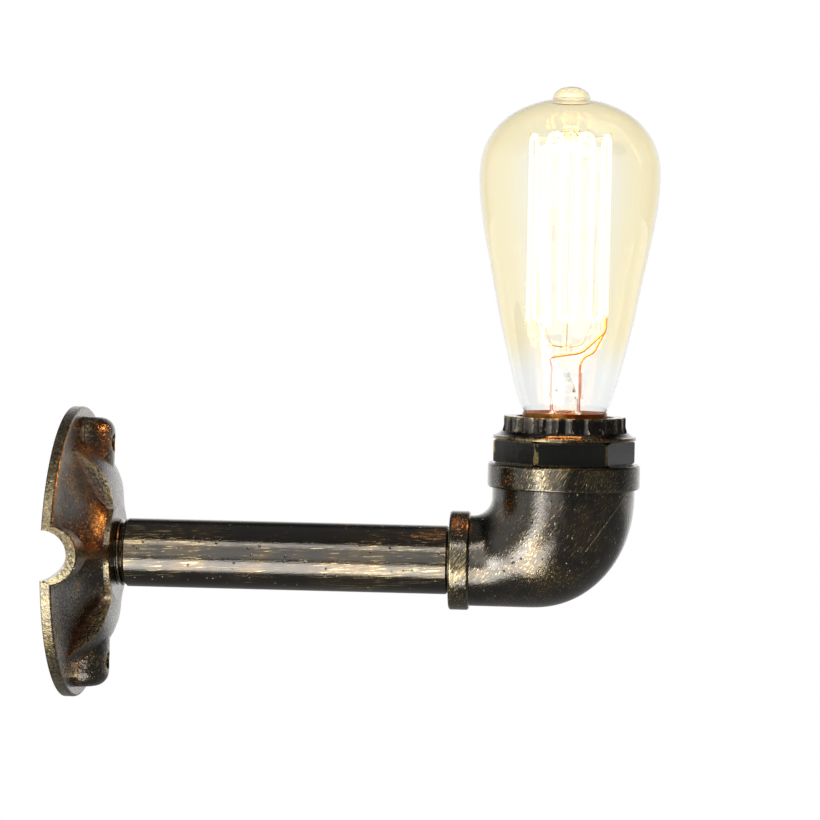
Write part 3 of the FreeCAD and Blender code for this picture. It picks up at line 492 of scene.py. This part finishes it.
        fine = p.cloud((2.2, 2.2, 2.2), detail=4.0, rough=0.7)
        gloss = add_node(tree, "MapRange", (fine, 0.3, 0.75, self.lacquer_rough - 0.06, self.lacquer_rough + 0.08),
                         interpolation_type=SMOOTH)
        for share, more in ((gold, self.gold_rough), (deep, self.hollow_rough)):
            duller = add_node(tree, "Math", (share, more), operation=Sum.TIMES, use_clamp=True)
            gloss = add_node(tree, "Math", (gloss, duller), operation=Sum.PLUS, use_clamp=True)
        matt = add_node(tree, "Math", (plain, self.plain_rough), operation=Sum.TIMES, use_clamp=True)
        gloss = add_node(tree, "Math", (gloss, matt), operation=Sum.LARGER, use_clamp=True)
        bumped = self.relief(p, grain, stroke, raised)
        return add_node(tree, "BsdfPrincipled", {"Base Color": colour, "Metallic": 1.0, "Roughness": gloss,
                                                 "Normal": bumped, "Coat Weight": 0.8, "Coat Normal": bumped,
                                                 "Coat Roughness": self.coat_rough})


@dataclass(frozen=True)
class BrushedPipe(AntiquedIron):
    """The same lacquer on drawn steel pipe, with the gold brushed along it, heaviest at its ends."""

    label: str = "antiqued steel pipe"
    grain_mm: float = 0.7
    grain_depth_mm: float = 0.010
    stroke_mm: Triple = (9.0, 0.42, 0.42)
    stroke_turn: Triple = (0.0, 0.05, 0.04)
    cover: float = 0.67
    haze: float = 0.16
    patch_mm: float = 14.0
    edge_mm: float = 0.6
    lacquer_rough: float = 0.17
    zones: tuple[Zone, ...] = (Zone(Along.OUT, 14.0, 34.0, 0.07, 12.0), Zone(Along.OUT, 96.0, 122.0, 0.10, 12.0))


@dataclass(frozen=True)
class GlossBlack(Finish):
    """Black stoved enamel on the turned hexagon: mirror-like, with its corners rubbed to gold.

    The corners are worn most on the side of the pipe, where a spanner takes hold.
    """

    label: str = "stoved black enamel"
    enamel: str = "#141412"
    gold: str = "#cdb878"
    corner_mm: float = 21.35
    edge_mm: float = 0.8
    edge_share: float = 0.2
    wear_fades_mm: Pair = (148.0, 160.0)
    far_side_wear: float = 0.1

    def nodes(self, tree: Tree) -> Node:
        """Build the enamel, its faint orange peel and the rubbed corners.

        Args:
            tree: The material's node tree.

        Returns:
            The surface shader.
        """
        p = Patterns(tree)
        wide = p.cloud((0.16, 0.16, 0.16))
        fine = p.cloud((1.6, 1.6, 0.8), detail=4.0, rough=0.65)
        corner = add_node(tree, "MapRange", (p.measure(Along.AROUND_LAMP), self.corner_mm * MM,
                                             (self.corner_mm + 0.3) * MM), interpolation_type=SMOOTH)
        worn = add_node(tree, "Math", (p.rubbed_edge(self.edge_mm), self.edge_share), operation=Sum.TIMES,
                        use_clamp=True)
        worn = add_node(tree, "Math", (worn, corner), operation=Sum.LARGER, use_clamp=True)
        near, far = (d * MM for d in self.wear_fades_mm)
        for limits in ((fine, 0.36, 0.56), (wide, 0.32, 0.48),
                       (p.measure(Along.OUT), near, far, 1.0, self.far_side_wear)):
            share = add_node(tree, "MapRange", limits, interpolation_type=SMOOTH)
            worn = add_node(tree, "Math", (worn, share), operation=Sum.TIMES, use_clamp=True)
        colour = add_node(tree, "Mix", {0: worn, 6: linear(self.enamel), 7: linear(self.gold)},
                          data_type="RGBA").outputs[2]
        gloss = add_node(tree, "MapRange", (fine, 0.3, 0.8, 0.12, 0.26), interpolation_type=SMOOTH)
        peel = add_node(tree, "Bump", {"Height": wide, "Distance": 0.03 * MM})
        return add_node(tree, "BsdfPrincipled", {"Base Color": colour, "Metallic": worn, "Roughness": gloss,
                                                 "Normal": peel})


@dataclass(frozen=True)
class BareMetal(Finish):
    """A plain metal, rolled, drawn, turned or plated, with fine working marks and a little tarnish.

    The marks are drawn a few times coarser than real ones, so that they show.
    """

    label: str
    colour: str
    tarnish: str
    rough: float = 0.28
    marks_per_mm: Triple = (1.2, 1.2, 6.0)

    def nodes(self, tree: Tree) -> Node:
        """Build the metal with its working marks and cloudy tarnish.

        Args:
            tree: The material's node tree.

        Returns:
            The surface shader.
        """
        p = Patterns(tree)
        marks = p.cloud(self.marks_per_mm)
        dull = add_node(tree, "MapRange", (p.cloud((0.22, 0.22, 0.22), detail=4.0), 0.45, 0.75, 0.0, 0.7),
                        interpolation_type=SMOOTH)
        colour = add_node(tree, "Mix", {0: dull, 6: linear(self.colour), 7: linear(self.tarnish)},
                          data_type="RGBA").outputs[2]
        uneven = add_node(tree, "MapRange", (marks, 0.3, 0.7, -0.07, 0.07), interpolation_type=SMOOTH)
        gloss = add_node(tree, "Math", (uneven, self.rough), operation=Sum.PLUS, use_clamp=True)
        worked = add_node(tree, "Bump", {"Height": marks, "Distance": 0.01 * MM, "Strength": 0.6})
        return add_node(tree, "BsdfPrincipled", {"Base Color": colour, "Metallic": 1.0, "Roughness": gloss,
                                                 "Normal": worked})


@dataclass(frozen=True)
class Moulded(Finish):
    """A moulded or pressed insulator: phenolic resin, red fibre or fused black glass."""

    label: str
    colour: str
    speck: str
    rough: float = 0.4
    speck_mm: float = 0.7

    def nodes(self, tree: Tree) -> Node:
        """Build the body colour with its specks and a slight skin.

        Args:
            tree: The material's node tree.

        Returns:
            The surface shader.
        """
        specks = Patterns(tree).cloud((1.0 / self.speck_mm,) * 3, detail=5.0, rough=0.7)
        shown = add_node(tree, "MapRange", (specks, 0.5, 0.75, 0.0, 0.6), interpolation_type=SMOOTH)
        colour = add_node(tree, "Mix", {0: shown, 6: linear(self.colour), 7: linear(self.speck)},
                          data_type="RGBA").outputs[2]
        gloss = add_node(tree, "MapRange", (specks, 0.3, 0.8, self.rough - 0.08, self.rough + 0.1),
                         interpolation_type=SMOOTH)
        skin = add_node(tree, "Bump", {"Height": specks, "Distance": 0.02 * MM, "Strength": 0.6})
        return add_node(tree, "BsdfPrincipled", {"Base Color": colour, "Roughness": gloss, "Normal": skin})


@dataclass(frozen=True)
class WireSleeve(Finish):
    """Soft PVC insulation, extruded, in one colour or with a stripe that runs along the wire."""

    label: str
    colour: str
    stripe: str | None = None
    rough: float = 0.42

    def nodes(self, tree: Tree) -> Node:
        """Build the insulation with its faint extrusion lines.

        Args:
            tree: The material's node tree.

        Returns:
            The surface shader.
        """
        p = Patterns(tree)
        lines = p.cloud((0.3, 3.0, 3.0))
        shown = add_node(tree, "MapRange", (lines, 0.4, 0.7, 0.0, 0.25), interpolation_type=SMOOTH)
        colour = add_node(tree, "Mix", {0: shown, 6: linear(self.colour), 7: BLACK}, data_type="RGBA").outputs[2]
        if self.stripe is not None:
            band = add_node(tree, "TexWave", {"Vector": p.mapped((0.0, 0.35, 0.35)), "Scale": 1.0, "Distortion": 1.5},
                            wave_type="BANDS").outputs["Fac"]
            striped = add_node(tree, "MapRange", (band, 0.45, 0.55), interpolation_type=SMOOTH)
            colour = add_node(tree, "Mix", {0: striped, 6: colour, 7: linear(self.stripe)},
                              data_type="RGBA").outputs[2]
        drawn = add_node(tree, "Bump", {"Height": lines, "Distance": 0.02 * MM, "Strength": 0.5})
        return add_node(tree, "BsdfPrincipled", {"Base Color": colour, "Roughness": self.rough, "Normal": drawn})


@dataclass(frozen=True)
class LampGlass(Finish):
    """Blown soda glass, with or without an amber stain that fades out near the neck.

    Lamps shine through it, so that the lit wire inside warms the metal round it. The stain is on the glass's
    inside, so the eye meets more of it where it looks along the wall.
    """

    label: str
    clear: str = "#fbfcfb"
    amber: str | None = None
    fade_low_mm: float = 60.0
    fade_high_mm: float = 74.0
    fade_uneven_mm: float = 6.0
    slant: Pair = (0.02, 0.3)
    face_on_share: float = 0.25

    def stain(self, p: Patterns, ripple: Node) -> Socket:
        """Lay the amber stain over the clear glass.

        Args:
            p: The material's patterns.
            ripple: The glass's slow ripple, which makes the stain's border uneven.

        Returns:
            The socket that gives the tint.
        """
        tree = p.tree
        uneven = add_node(tree, "Math", (ripple, self.fade_uneven_mm * MM), operation=Sum.TIMES, use_clamp=True)
        level = add_node(tree, "Math", (p.measure(Along.HIGH), uneven), operation=Sum.PLUS)
        above = add_node(tree, "MapRange", (level, self.fade_low_mm * MM, self.fade_high_mm * MM),
                         interpolation_type=SMOOTH)
        facing = add_node(tree, "LayerWeight", {"Blend": 0.5}).outputs["Facing"]
        met = add_node(tree, "MapRange", (facing, *self.slant, self.face_on_share, 1.0), interpolation_type=SMOOTH)
        share = add_node(tree, "Math", (above, met), operation=Sum.TIMES, use_clamp=True)
        return add_node(tree, "Mix", {0: share, 6: linear(self.clear), 7: linear(self.amber)},
                        data_type="RGBA").outputs[2]

    def nodes(self, tree: Tree) -> Node:
        """Build the glass, its stain and the way that lamps pass through it.

        Args:
            tree: The material's node tree.

        Returns:
            The surface shader.
        """
        p = Patterns(tree)
        ripple = p.cloud((0.06, 0.06, 0.03), detail=2.0, rough=0.5)
        tint = linear(self.clear) if self.amber is None else self.stain(p, ripple)
        wavy = add_node(tree, "Bump", {"Height": ripple, "Distance": 0.05 * MM, "Strength": 0.3})
        glass = add_node(tree, "BsdfPrincipled", {"Base Color": tint, "Roughness": 0.0, "Transmission Weight": 1.0,
                                                  "Normal": wavy, "IOR": 1.5})
        through = add_node(tree, "BsdfTransparent", {"Color": tint})
        lamp_ray = add_node(tree, "LightPath").outputs["Is Shadow Ray"]
        return add_node(tree, "MixShader", (lamp_ray, glass, through))


@dataclass(frozen=True)
class HotWire(Finish):
    """Tungsten wire at white heat: far brighter than the room, and orange beside studio light."""

    label: str = "glowing tungsten"
    cold: str = "#5a5650"
    glow: str = "#ffb460"
    strength: float = 60.0

    def nodes(self, tree: Tree) -> Node:
        """Build the glow, a little uneven along the wire.

        Args:
            tree: The material's node tree.

        Returns:
            The surface shader.
        """
        wander = Patterns(tree).cloud((0.1, 0.1, 0.05), detail=2.0, rough=0.5)
        uneven = add_node(tree, "MapRange", (wander, 0.2, 0.8, 0.8, 1.2), interpolation_type=SMOOTH)
        power = add_node(tree, "Math", (uneven, self.strength), operation=Sum.TIMES)
        return add_node(tree, "BsdfPrincipled", {"Base Color": linear(self.cold), "Metallic": 1.0, "Roughness": 0.4,
                                                 "Emission Color": linear(self.glow), "Emission Strength": power})


@dataclass(frozen=True)
class PaleGround(Finish):
    """Matt white card under and behind the object, which reads as plain white behind it."""

    label: str = "white card"
    card: str = "#e8e8e6"
    near_level: float = 0.2
    left_level: float = 0.75
    behind_m: Pair = (0.4, 1.5)
    left_m: Pair = (-1.5, -0.4)

    def nodes(self, tree: Tree) -> Node:
        """Build the card: white to the eye and in far reflections, a plain matt card to the lamps.

        Args:
            tree: The material's node tree.

        Returns:
            The surface shader.
        """
        path = add_node(tree, "LightPath").outputs
        place = add_node(tree, "SeparateXYZ", (add_node(tree, "TexCoord").outputs["Object"],)).outputs
        clear = add_node(tree, "Math", (path["Is Camera Ray"], path["Is Transmission Ray"]), operation=Sum.LARGER)
        behind = add_node(tree, "MapRange", (place["Y"], *self.behind_m, self.near_level, 1.0),
                          interpolation_type=SMOOTH)
        left = add_node(tree, "MapRange", (place["X"], *self.left_m, self.left_level, self.near_level),
                        interpolation_type=SMOOTH)
        room = add_node(tree, "Math", (behind, left), operation=Sum.LARGER)
        mirrored = add_node(tree, "Math", (path["Is Glossy Ray"], room), operation=Sum.TIMES)
        level = add_node(tree, "Math", (clear, mirrored), operation=Sum.LARGER)
        seen = add_node(tree, "Math", (clear, path["Is Glossy Ray"]), operation=Sum.LARGER)
        matt = add_node(tree, "BsdfDiffuse", {"Color": linear(self.card)})
        white = add_node(tree, "Emission", {"Color": WHITE, "Strength": level})
        return add_node(tree, "MixShader", (seen, matt, white))


# ------------------------------------------------------------- sub-assemblies


def finish_with(piece: bpy.types.Object, modifier: bpy.types.Modifier) -> None:
    """Apply one modifier to a piece."""
    bpy.context.view_layer.objects.active = piece
    bpy.ops.object.modifier_apply(modifier=modifier.name)


def drawn_shell(name: str, outline_mm: tuple[Pair, ...], wall_mm: float, sides: int = 64) -> bpy.types.Object:
    """Draw a round thin-walled shell about the lamp's axis, ring by ring, closed at its top.

    Args:
        name: The new piece's name.
        outline_mm: Radius and height of each ring, from the open end up; the last radius is 0.
        wall_mm: The wall's thickness, inside the outline.
        sides: Corners of each ring before it is smoothed.

    Returns:
        The finished piece.
    """
    (radius, high), *others = outline_mm
    bpy.ops.object.select_all(action="DESELECT")
    bpy.ops.mesh.primitive_circle_add(vertices=sides, radius=radius * MM, location=(LAMP_AXIS_MM * MM, 0.0, high * MM))
    piece = bpy.context.object
    piece.name = name
    bpy.ops.object.transform_apply(location=True, rotation=True, scale=True)
    bpy.ops.object.mode_set(mode="EDIT")
    bpy.ops.mesh.select_all(action="SELECT")
    for new_radius, new_high in others:
        bpy.ops.mesh.extrude_region_move(TRANSFORM_OT_translate={"value": (0.0, 0.0, (new_high - high) * MM)})
        high = new_high
        if new_radius == 0.0:
            bpy.ops.mesh.merge(type="CENTER")
            break
        grow = new_radius / radius
        bpy.ops.transform.resize(value=(grow, grow, 1.0), center_override=(LAMP_AXIS_MM * MM, 0.0, high * MM))
        radius = new_radius
    bpy.ops.mesh.select_all(action="SELECT")
    bpy.ops.mesh.normals_make_consistent(inside=False)
    bpy.ops.object.mode_set(mode="OBJECT")
    wall = piece.modifiers.new("wall", "SOLIDIFY")
    wall.thickness = wall_mm * MM
    wall.offset = -1.0
    finish_with(piece, wall)
    smooth = piece.modifiers.new("smooth", "SUBSURF")
    smooth.levels = smooth.render_levels = 2
    finish_with(piece, smooth)
    bpy.ops.object.shade_smooth()
    return piece


def thickened_copy(node: str, name: str, by_mm: float) -> bpy.types.Object:
    """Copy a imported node's mesh and swell it evenly.

    Args:
        node: The node to copy.
        name: The new piece's name.
        by_mm: How far each point moves out.

    Returns:
        The new piece.
    """
    bpy.ops.object.select_all(action="DESELECT")
    piece = bpy.data.objects.new(name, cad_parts[node].data.copy())
    bpy.context.scene.collection.objects.link(piece)
    bpy.context.view_layer.objects.active = piece
    piece.select_set(True)
    bpy.ops.mesh.customdata_custom_splitnormals_clear()
    bpy.ops.object.mode_set(mode="EDIT")
    bpy.ops.mesh.select_all(action="SELECT")
    bpy.ops.mesh.remove_doubles(threshold=1e-6)
    bpy.ops.object.mode_set(mode="OBJECT")
    swell = piece.modifiers.new("swell", "DISPLACE")
    swell.mid_level = 0.0
    swell.strength = by_mm * MM
    finish_with(piece, swell)
    bpy.ops.object.shade_smooth()
    return piece


def dress(node: str, finish: Finish) -> None:
    """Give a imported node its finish.

    Args:
        node: The node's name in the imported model.
        finish: The finish for all of its faces.
    """
    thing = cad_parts[node]
    made = finish.material()
    if not thing.data.materials:
        thing.data.materials.append(made)
    for slot in thing.material_slots:
        slot.material = made
    log.info("dressed %s with %s", node, finish.label)


ZINC = BareMetal("zinc-plated steel", "#b9bcbb", "#8d8f8c", 0.3)
TINNED = BareMetal("tinned copper", "#c3c2bc", "#a59f92", 0.26)


@dataclass
class WallFlange:
    """The round casting on the wall, with the wiring point behind it.

    Its grain is coarse, its brush work dabbed, its sunk pockets painted a warm orange that stands in for the lit
    wire's glow falling on them, and its flat back plain.
    """

    iron: AntiquedIron = AntiquedIron("antiqued flange casting", stroke_mm=(0.8, 0.8, 0.8), grain_mm=1.0,
                                      grain_depth_mm=0.24, haze=0.35, edge_mm=2.8, lacquer_rough=0.27,
                                      # Painted light: the orange hollow colour is a painted lamp glow in the sunk
                                      # pockets.
                                      patch_mm=7.0, hollow_mm=5.5, painted_hollow_light="#6b4a30", hollow_rough=0.08,
                                      plain_below_mm=0.1,
                                      zones=(Zone(Along.AROUND_PIPE, 44.8, 50.0, 0.05, 0.3),))

    def build(self) -> None:
        """Dress the flange and the earth point."""
        dress("wall_flange", self.iron)
        dress("earth_screw", ZINC)
        dress("earth_lug", TINNED)
        dress("earth_wire", WireSleeve("green and yellow insulation", "#3f8a2a", "#e0cf2c"))


@dataclass
class PipeArm:
    """The straight pipe between the flange and the elbow."""

    steel: BrushedPipe = BrushedPipe()

    def build(self) -> None:
        """Dress the pipe."""
        dress("pipe_arm", self.steel)


@dataclass
class ReducingElbow:
    """The elbow that turns the arm up into the lamp's cup."""

    iron: AntiquedIron = AntiquedIron("antiqued elbow casting",
                                      zones=(Zone(Along.HIGH, 22.8, 32.0, 0.06, 0.4),
                                             Zone(Along.OUT, 110.0, 124.7, 0.09, 0.4)),
                                      marks=(CastRing(146.4, -0.9, 1.2), CastSeam((170.9, 21.4), (159.8, 5.7))))

    def build(self) -> None:
        """Dress the elbow."""
        dress("reducing_elbow", self.iron)


@dataclass
class LampHolder:
    """The hexagon sleeve, the fluted ring and the screw holder inside them."""

    ring: AntiquedIron = AntiquedIron("antiqued fluted ring", lacquer="#262321", brown="#322b26", cover=0.70,
                                      haze=0.14, grain_depth_mm=0.02, lacquer_rough=0.15,
                                      zones=(Zone(Along.HIGH, 36.6, 39.6, 0.10, 0.3),))
    brass: BareMetal = BareMetal("rolled brass", "#d2ac62", "#9a7438", 0.24)
    bronze: BareMetal = BareMetal("spring bronze", "#c08a58", "#7e5432", 0.26)

    def build(self) -> None:
        """Dress the holder from the outside in."""
        dress("hex_sleeve", GlossBlack())
        dress("fluted_ring", self.ring)
        dress("ring_washer", Moulded("red fibre", "#6b2c1c", "#8d4a32", 0.6))
        dress("holder_core", Moulded("black phenolic resin", "#15120f", "#2a241d", 0.38))
        for node in ("screw_shell", "side_contact", "terminal_blocks", "shell_rivets", "contact_rivet"):
            dress(node, self.brass)
        for node in ("contact_foot", "centre_contact"):
            dress(node, self.bronze)
        dress("terminal_screws", ZINC)


@dataclass
class Wiring:
    """The two insulated wires from the holder to the recess behind the flange."""

    def build(self) -> None:
        """Dress the wires and their crimped ends."""
        dress("live_wire", WireSleeve("brown insulation", "#4d2a16"))
        dress("neutral_wire", WireSleeve("blue insulation", "#1f4f9c"))
        dress("wire_ferrules", TINNED)


@dataclass
class Lamp:
    """The lit filament lamp."""

    amber: LampGlass = LampGlass("amber lamp glass", amber="#fdf6dc")
    inner: LampGlass = LampGlass("drawn clear glass")
    hot: HotWire = HotWire()
    nickel: BareMetal = BareMetal("nickel wire", "#b8b2a8", "#857c70", 0.3)
    wall_mm: float = 0.5
    glare_mm: float = 0.2
    outline_mm: tuple[Pair, ...] = (
        (11.4, 40.7), (11.5, 42.4), (11.6, 44.2), (12.2, 45.9), (13.5, 47.8), (14.5, 51.0), (16.2, 56.4), (18.5, 65.8),
        (20.9, 75.8), (23.5, 90.2), (25.7, 100.0), (27.3, 109.8), (27.95, 118.5), (27.4, 124.6), (25.6, 129.8),
        (22.1, 134.5), (18.6, 137.4), (14.8, 139.5), (11.0, 141.0), (7.6, 141.8), (6.2, 142.1), (5.6, 142.45),
        (5.85, 142.95), (5.3, 144.1), (3.9, 145.4), (2.0, 146.05), (0.0, 146.1))

    def envelope(self) -> None:
        """Blow the envelope, with its sealed pip hollow at the crown."""
        shell = drawn_shell("lamp_envelope", self.outline_mm, self.wall_mm)
        shell.data.materials.append(self.amber.material())
        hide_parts("bulb_glass")
        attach(shell, "lamp")

    def cage(self) -> None:
        """String the cage, as thick as the glare makes it look."""
        wire = thickened_copy("filament", "glowing_cage", self.glare_mm)
        wire.data.materials.clear()
        wire.data.materials.append(self.hot.material())
        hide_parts("filament")
        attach(wire, "lamp")

    def build(self) -> None:
        """Dress the lamp, glass to contact."""
        self.envelope()
        self.cage()
        for node in ("bulb_stem", "centre_post"):
            dress(node, self.inner)
        for node in ("upper_supports", "lower_supports"):
            dress(node, self.nickel)
        dress("lead_wires", BareMetal("copper-sheathed wire", "#c8794c", "#8d4d2c", 0.3))
        dress("bulb_cap", BareMetal("lamp cap brass", "#8f5f2c", "#6b431e", 0.3))
        dress("cap_insulator", Moulded("fused black glass", "#0c0c10", "#1c1c22", 0.14))
        dress("cap_contact", BareMetal("soft solder", "#b4b6b6", "#8a8c8c", 0.34))


# --------------------------------------------------------------------- studio


@dataclass(frozen=True)
class SoftBox:
    """One soft rectangular lamp: its middle, the point that it faces, its width and height, and its power."""

    name: str
    at_mm: Triple
    aim_mm: Triple
    size_mm: Pair
    watts: float

    def build(self) -> None:
        """Hang the lamp."""
        data = bpy.data.lights.new(self.name, "AREA")
        data.shape = "RECTANGLE"
        data.size, data.size_y = (s * MM for s in self.size_mm)
        data.energy = self.watts
        thing = bpy.data.objects.new(self.name, data)
        bpy.context.scene.collection.objects.link(thing)
        way = Vector(self.aim_mm) - Vector(self.at_mm)
        thing.location = Vector(self.at_mm) * MM
        thing.rotation_euler = way.to_track_quat("-Z", "Y").to_euler()


@dataclass
class Studio:
    """Camera, soft lamps, the lit wire's warm light, the white card and the room."""

    eye_mm: Triple = (145.73, -676.81, 73.78)
    swing_deg: float = 3.45
    dip_deg: float = 2.33
    roll_deg: float = 1.05
    focal_px: float = 2195.24
    sensor_mm: float = 36.0
    floor_mm: float = -260.0
    card_m: float = 6.0
    ember_heights_mm: Triple = (84.0, 103.0, 122.0)
    ember_radius_mm: float = 9.0
    ember_watts: float = 0.31
    ember_colour: str = "#ff9a48"
    room_colour: str = "#e9eaec"
    room_strength: float = 0.3
    dim_level: float = 0.12
    softboxes: tuple[SoftBox, ...] = (
        SoftBox("low_panel", (5.0, -199.0, -136.0), (5.0, 0.0, 0.0), (250.0, 155.0), 0.68),
        SoftBox("left_box", (-310.0, -633.0, -171.0), (120.0, 0.0, 0.0), (230.0, 300.0), 1.8),
        SoftBox("front_box", (-180.0, -880.0, 230.0), (100.0, 0.0, 0.0), (620.0, 700.0), 1.8),
        SoftBox("high_strip", (-150.0, -640.0, 560.0), (-50.0, 0.0, 0.0), (620.0, 170.0), 1.5))

    def camera(self) -> None:
        """Place the camera where the photograph was taken from."""
        psi, dip, roll = (math.radians(a) for a in (self.swing_deg, self.dip_deg, self.roll_deg))
        level = Vector((math.cos(psi), math.sin(psi), 0.0))
        ahead = Vector((-math.sin(psi) * math.cos(dip), math.cos(psi) * math.cos(dip), -math.sin(dip)))
        above = level.cross(ahead)
        right = level * math.cos(roll) + above * math.sin(roll)
        up = above * math.cos(roll) - level * math.sin(roll)
        data = bpy.data.cameras.new("studio_camera")
        data.sensor_width = self.sensor_mm
        data.lens = self.focal_px * data.sensor_width / PHOTO_PIXELS
        data.clip_start = 0.01
        thing = bpy.data.objects.new("studio_camera", data)
        bpy.context.scene.collection.objects.link(thing)
        turn = Matrix((right, up, -ahead)).transposed().to_4x4()
        thing.matrix_world = Matrix.Translation(Vector(self.eye_mm) * MM) @ turn
        bpy.context.scene.camera = thing

    def embers(self) -> None:
        """Give the lit wire's warm light, at a few heights of the cage, from lamps that the camera can't see."""
        for i, high in enumerate(self.ember_heights_mm):
            data = bpy.data.lights.new(f"ember_{i}", "POINT")
            data.energy = self.ember_watts
            data.color = linear(self.ember_colour)[:3]
            data.shadow_soft_size = self.ember_radius_mm * MM
            thing = bpy.data.objects.new(f"ember_{i}", data)
            thing.location = Vector((LAMP_AXIS_MM, 0.0, high)) * MM
            thing.visible_camera = False
            thing.visible_transmission = False
            bpy.context.scene.collection.objects.link(thing)

    def ground(self) -> None:
        """Lay the white card as a wide floor under the object."""
        bpy.ops.object.select_all(action="DESELECT")
        bpy.ops.mesh.primitive_plane_add(size=self.card_m, location=(0.1, 0.0, self.floor_mm * MM))
        card = bpy.context.object
        card.name = "white_card_floor"
        card.data.materials.append(PaleGround().material())

    def sky(self) -> None:
        """Give the room a white far side, a pale left side, a dim ceiling and a dark near side."""
        world = bpy.data.worlds.new("studio_room")
        bpy.context.scene.world = world
        world.use_nodes = True
        tree = world.node_tree
        tree.nodes.clear()
        way = add_node(tree, "SeparateXYZ", (add_node(tree, "TexCoord").outputs["Generated"],)).outputs
        path = add_node(tree, "LightPath").outputs
        behind = add_node(tree, "MapRange", (way["Y"], 0.6, 0.97, self.dim_level, 1.0), interpolation_type=SMOOTH)
        left = add_node(tree, "MapRange", (way["X"], -0.98, -0.6, 0.8, self.dim_level), interpolation_type=SMOOTH)
        level = add_node(tree, "Math", (behind, left), operation=Sum.LARGER)
        low = add_node(tree, "MapRange", (way["Z"], 0.2, 0.6, 1.0, 0.15), interpolation_type=SMOOTH)
        room = add_node(tree, "Math", (level, low), operation=Sum.TIMES)
        ceiling = add_node(tree, "MapRange", (way["Z"], 0.7, 0.95, 0.0, 0.2), interpolation_type=SMOOTH)
        room = add_node(tree, "Math", (room, ceiling), operation=Sum.LARGER)
        clear = add_node(tree, "Math", (path["Is Camera Ray"], path["Is Transmission Ray"]), operation=Sum.LARGER)
        glossy = add_node(tree, "Math", (path["Is Glossy Ray"], room), operation=Sum.TIMES)
        shown = add_node(tree, "Math", (clear, glossy), operation=Sum.LARGER)
        seen = add_node(tree, "Math", (path["Is Glossy Ray"], clear), operation=Sum.LARGER)
        plain = add_node(tree, "Background", {"Color": linear(self.room_colour), "Strength": self.room_strength})
        white = add_node(tree, "Background", {"Color": WHITE, "Strength": shown})
        both = add_node(tree, "MixShader", (seen, plain, white))
        add_node(tree, "OutputWorld", {"Surface": both})

    def build(self) -> None:
        """Set the whole studio up."""
        bpy.context.scene.view_settings.view_transform = "Standard"
        self.camera()
        self.ground()
        self.sky()
        for box in self.softboxes:
            box.build()
        self.embers()


def main() -> None:
    """Build the scene in order: camera and room first, then the object from the wall outwards."""
    Studio().build()
    for part in (WallFlange(), PipeArm(), ReducingElbow(), LampHolder(), Wiring(), Lamp()):
        part.build()
        log.info("built %s", type(part).__name__)


if __name__ == "__main__":
    main()
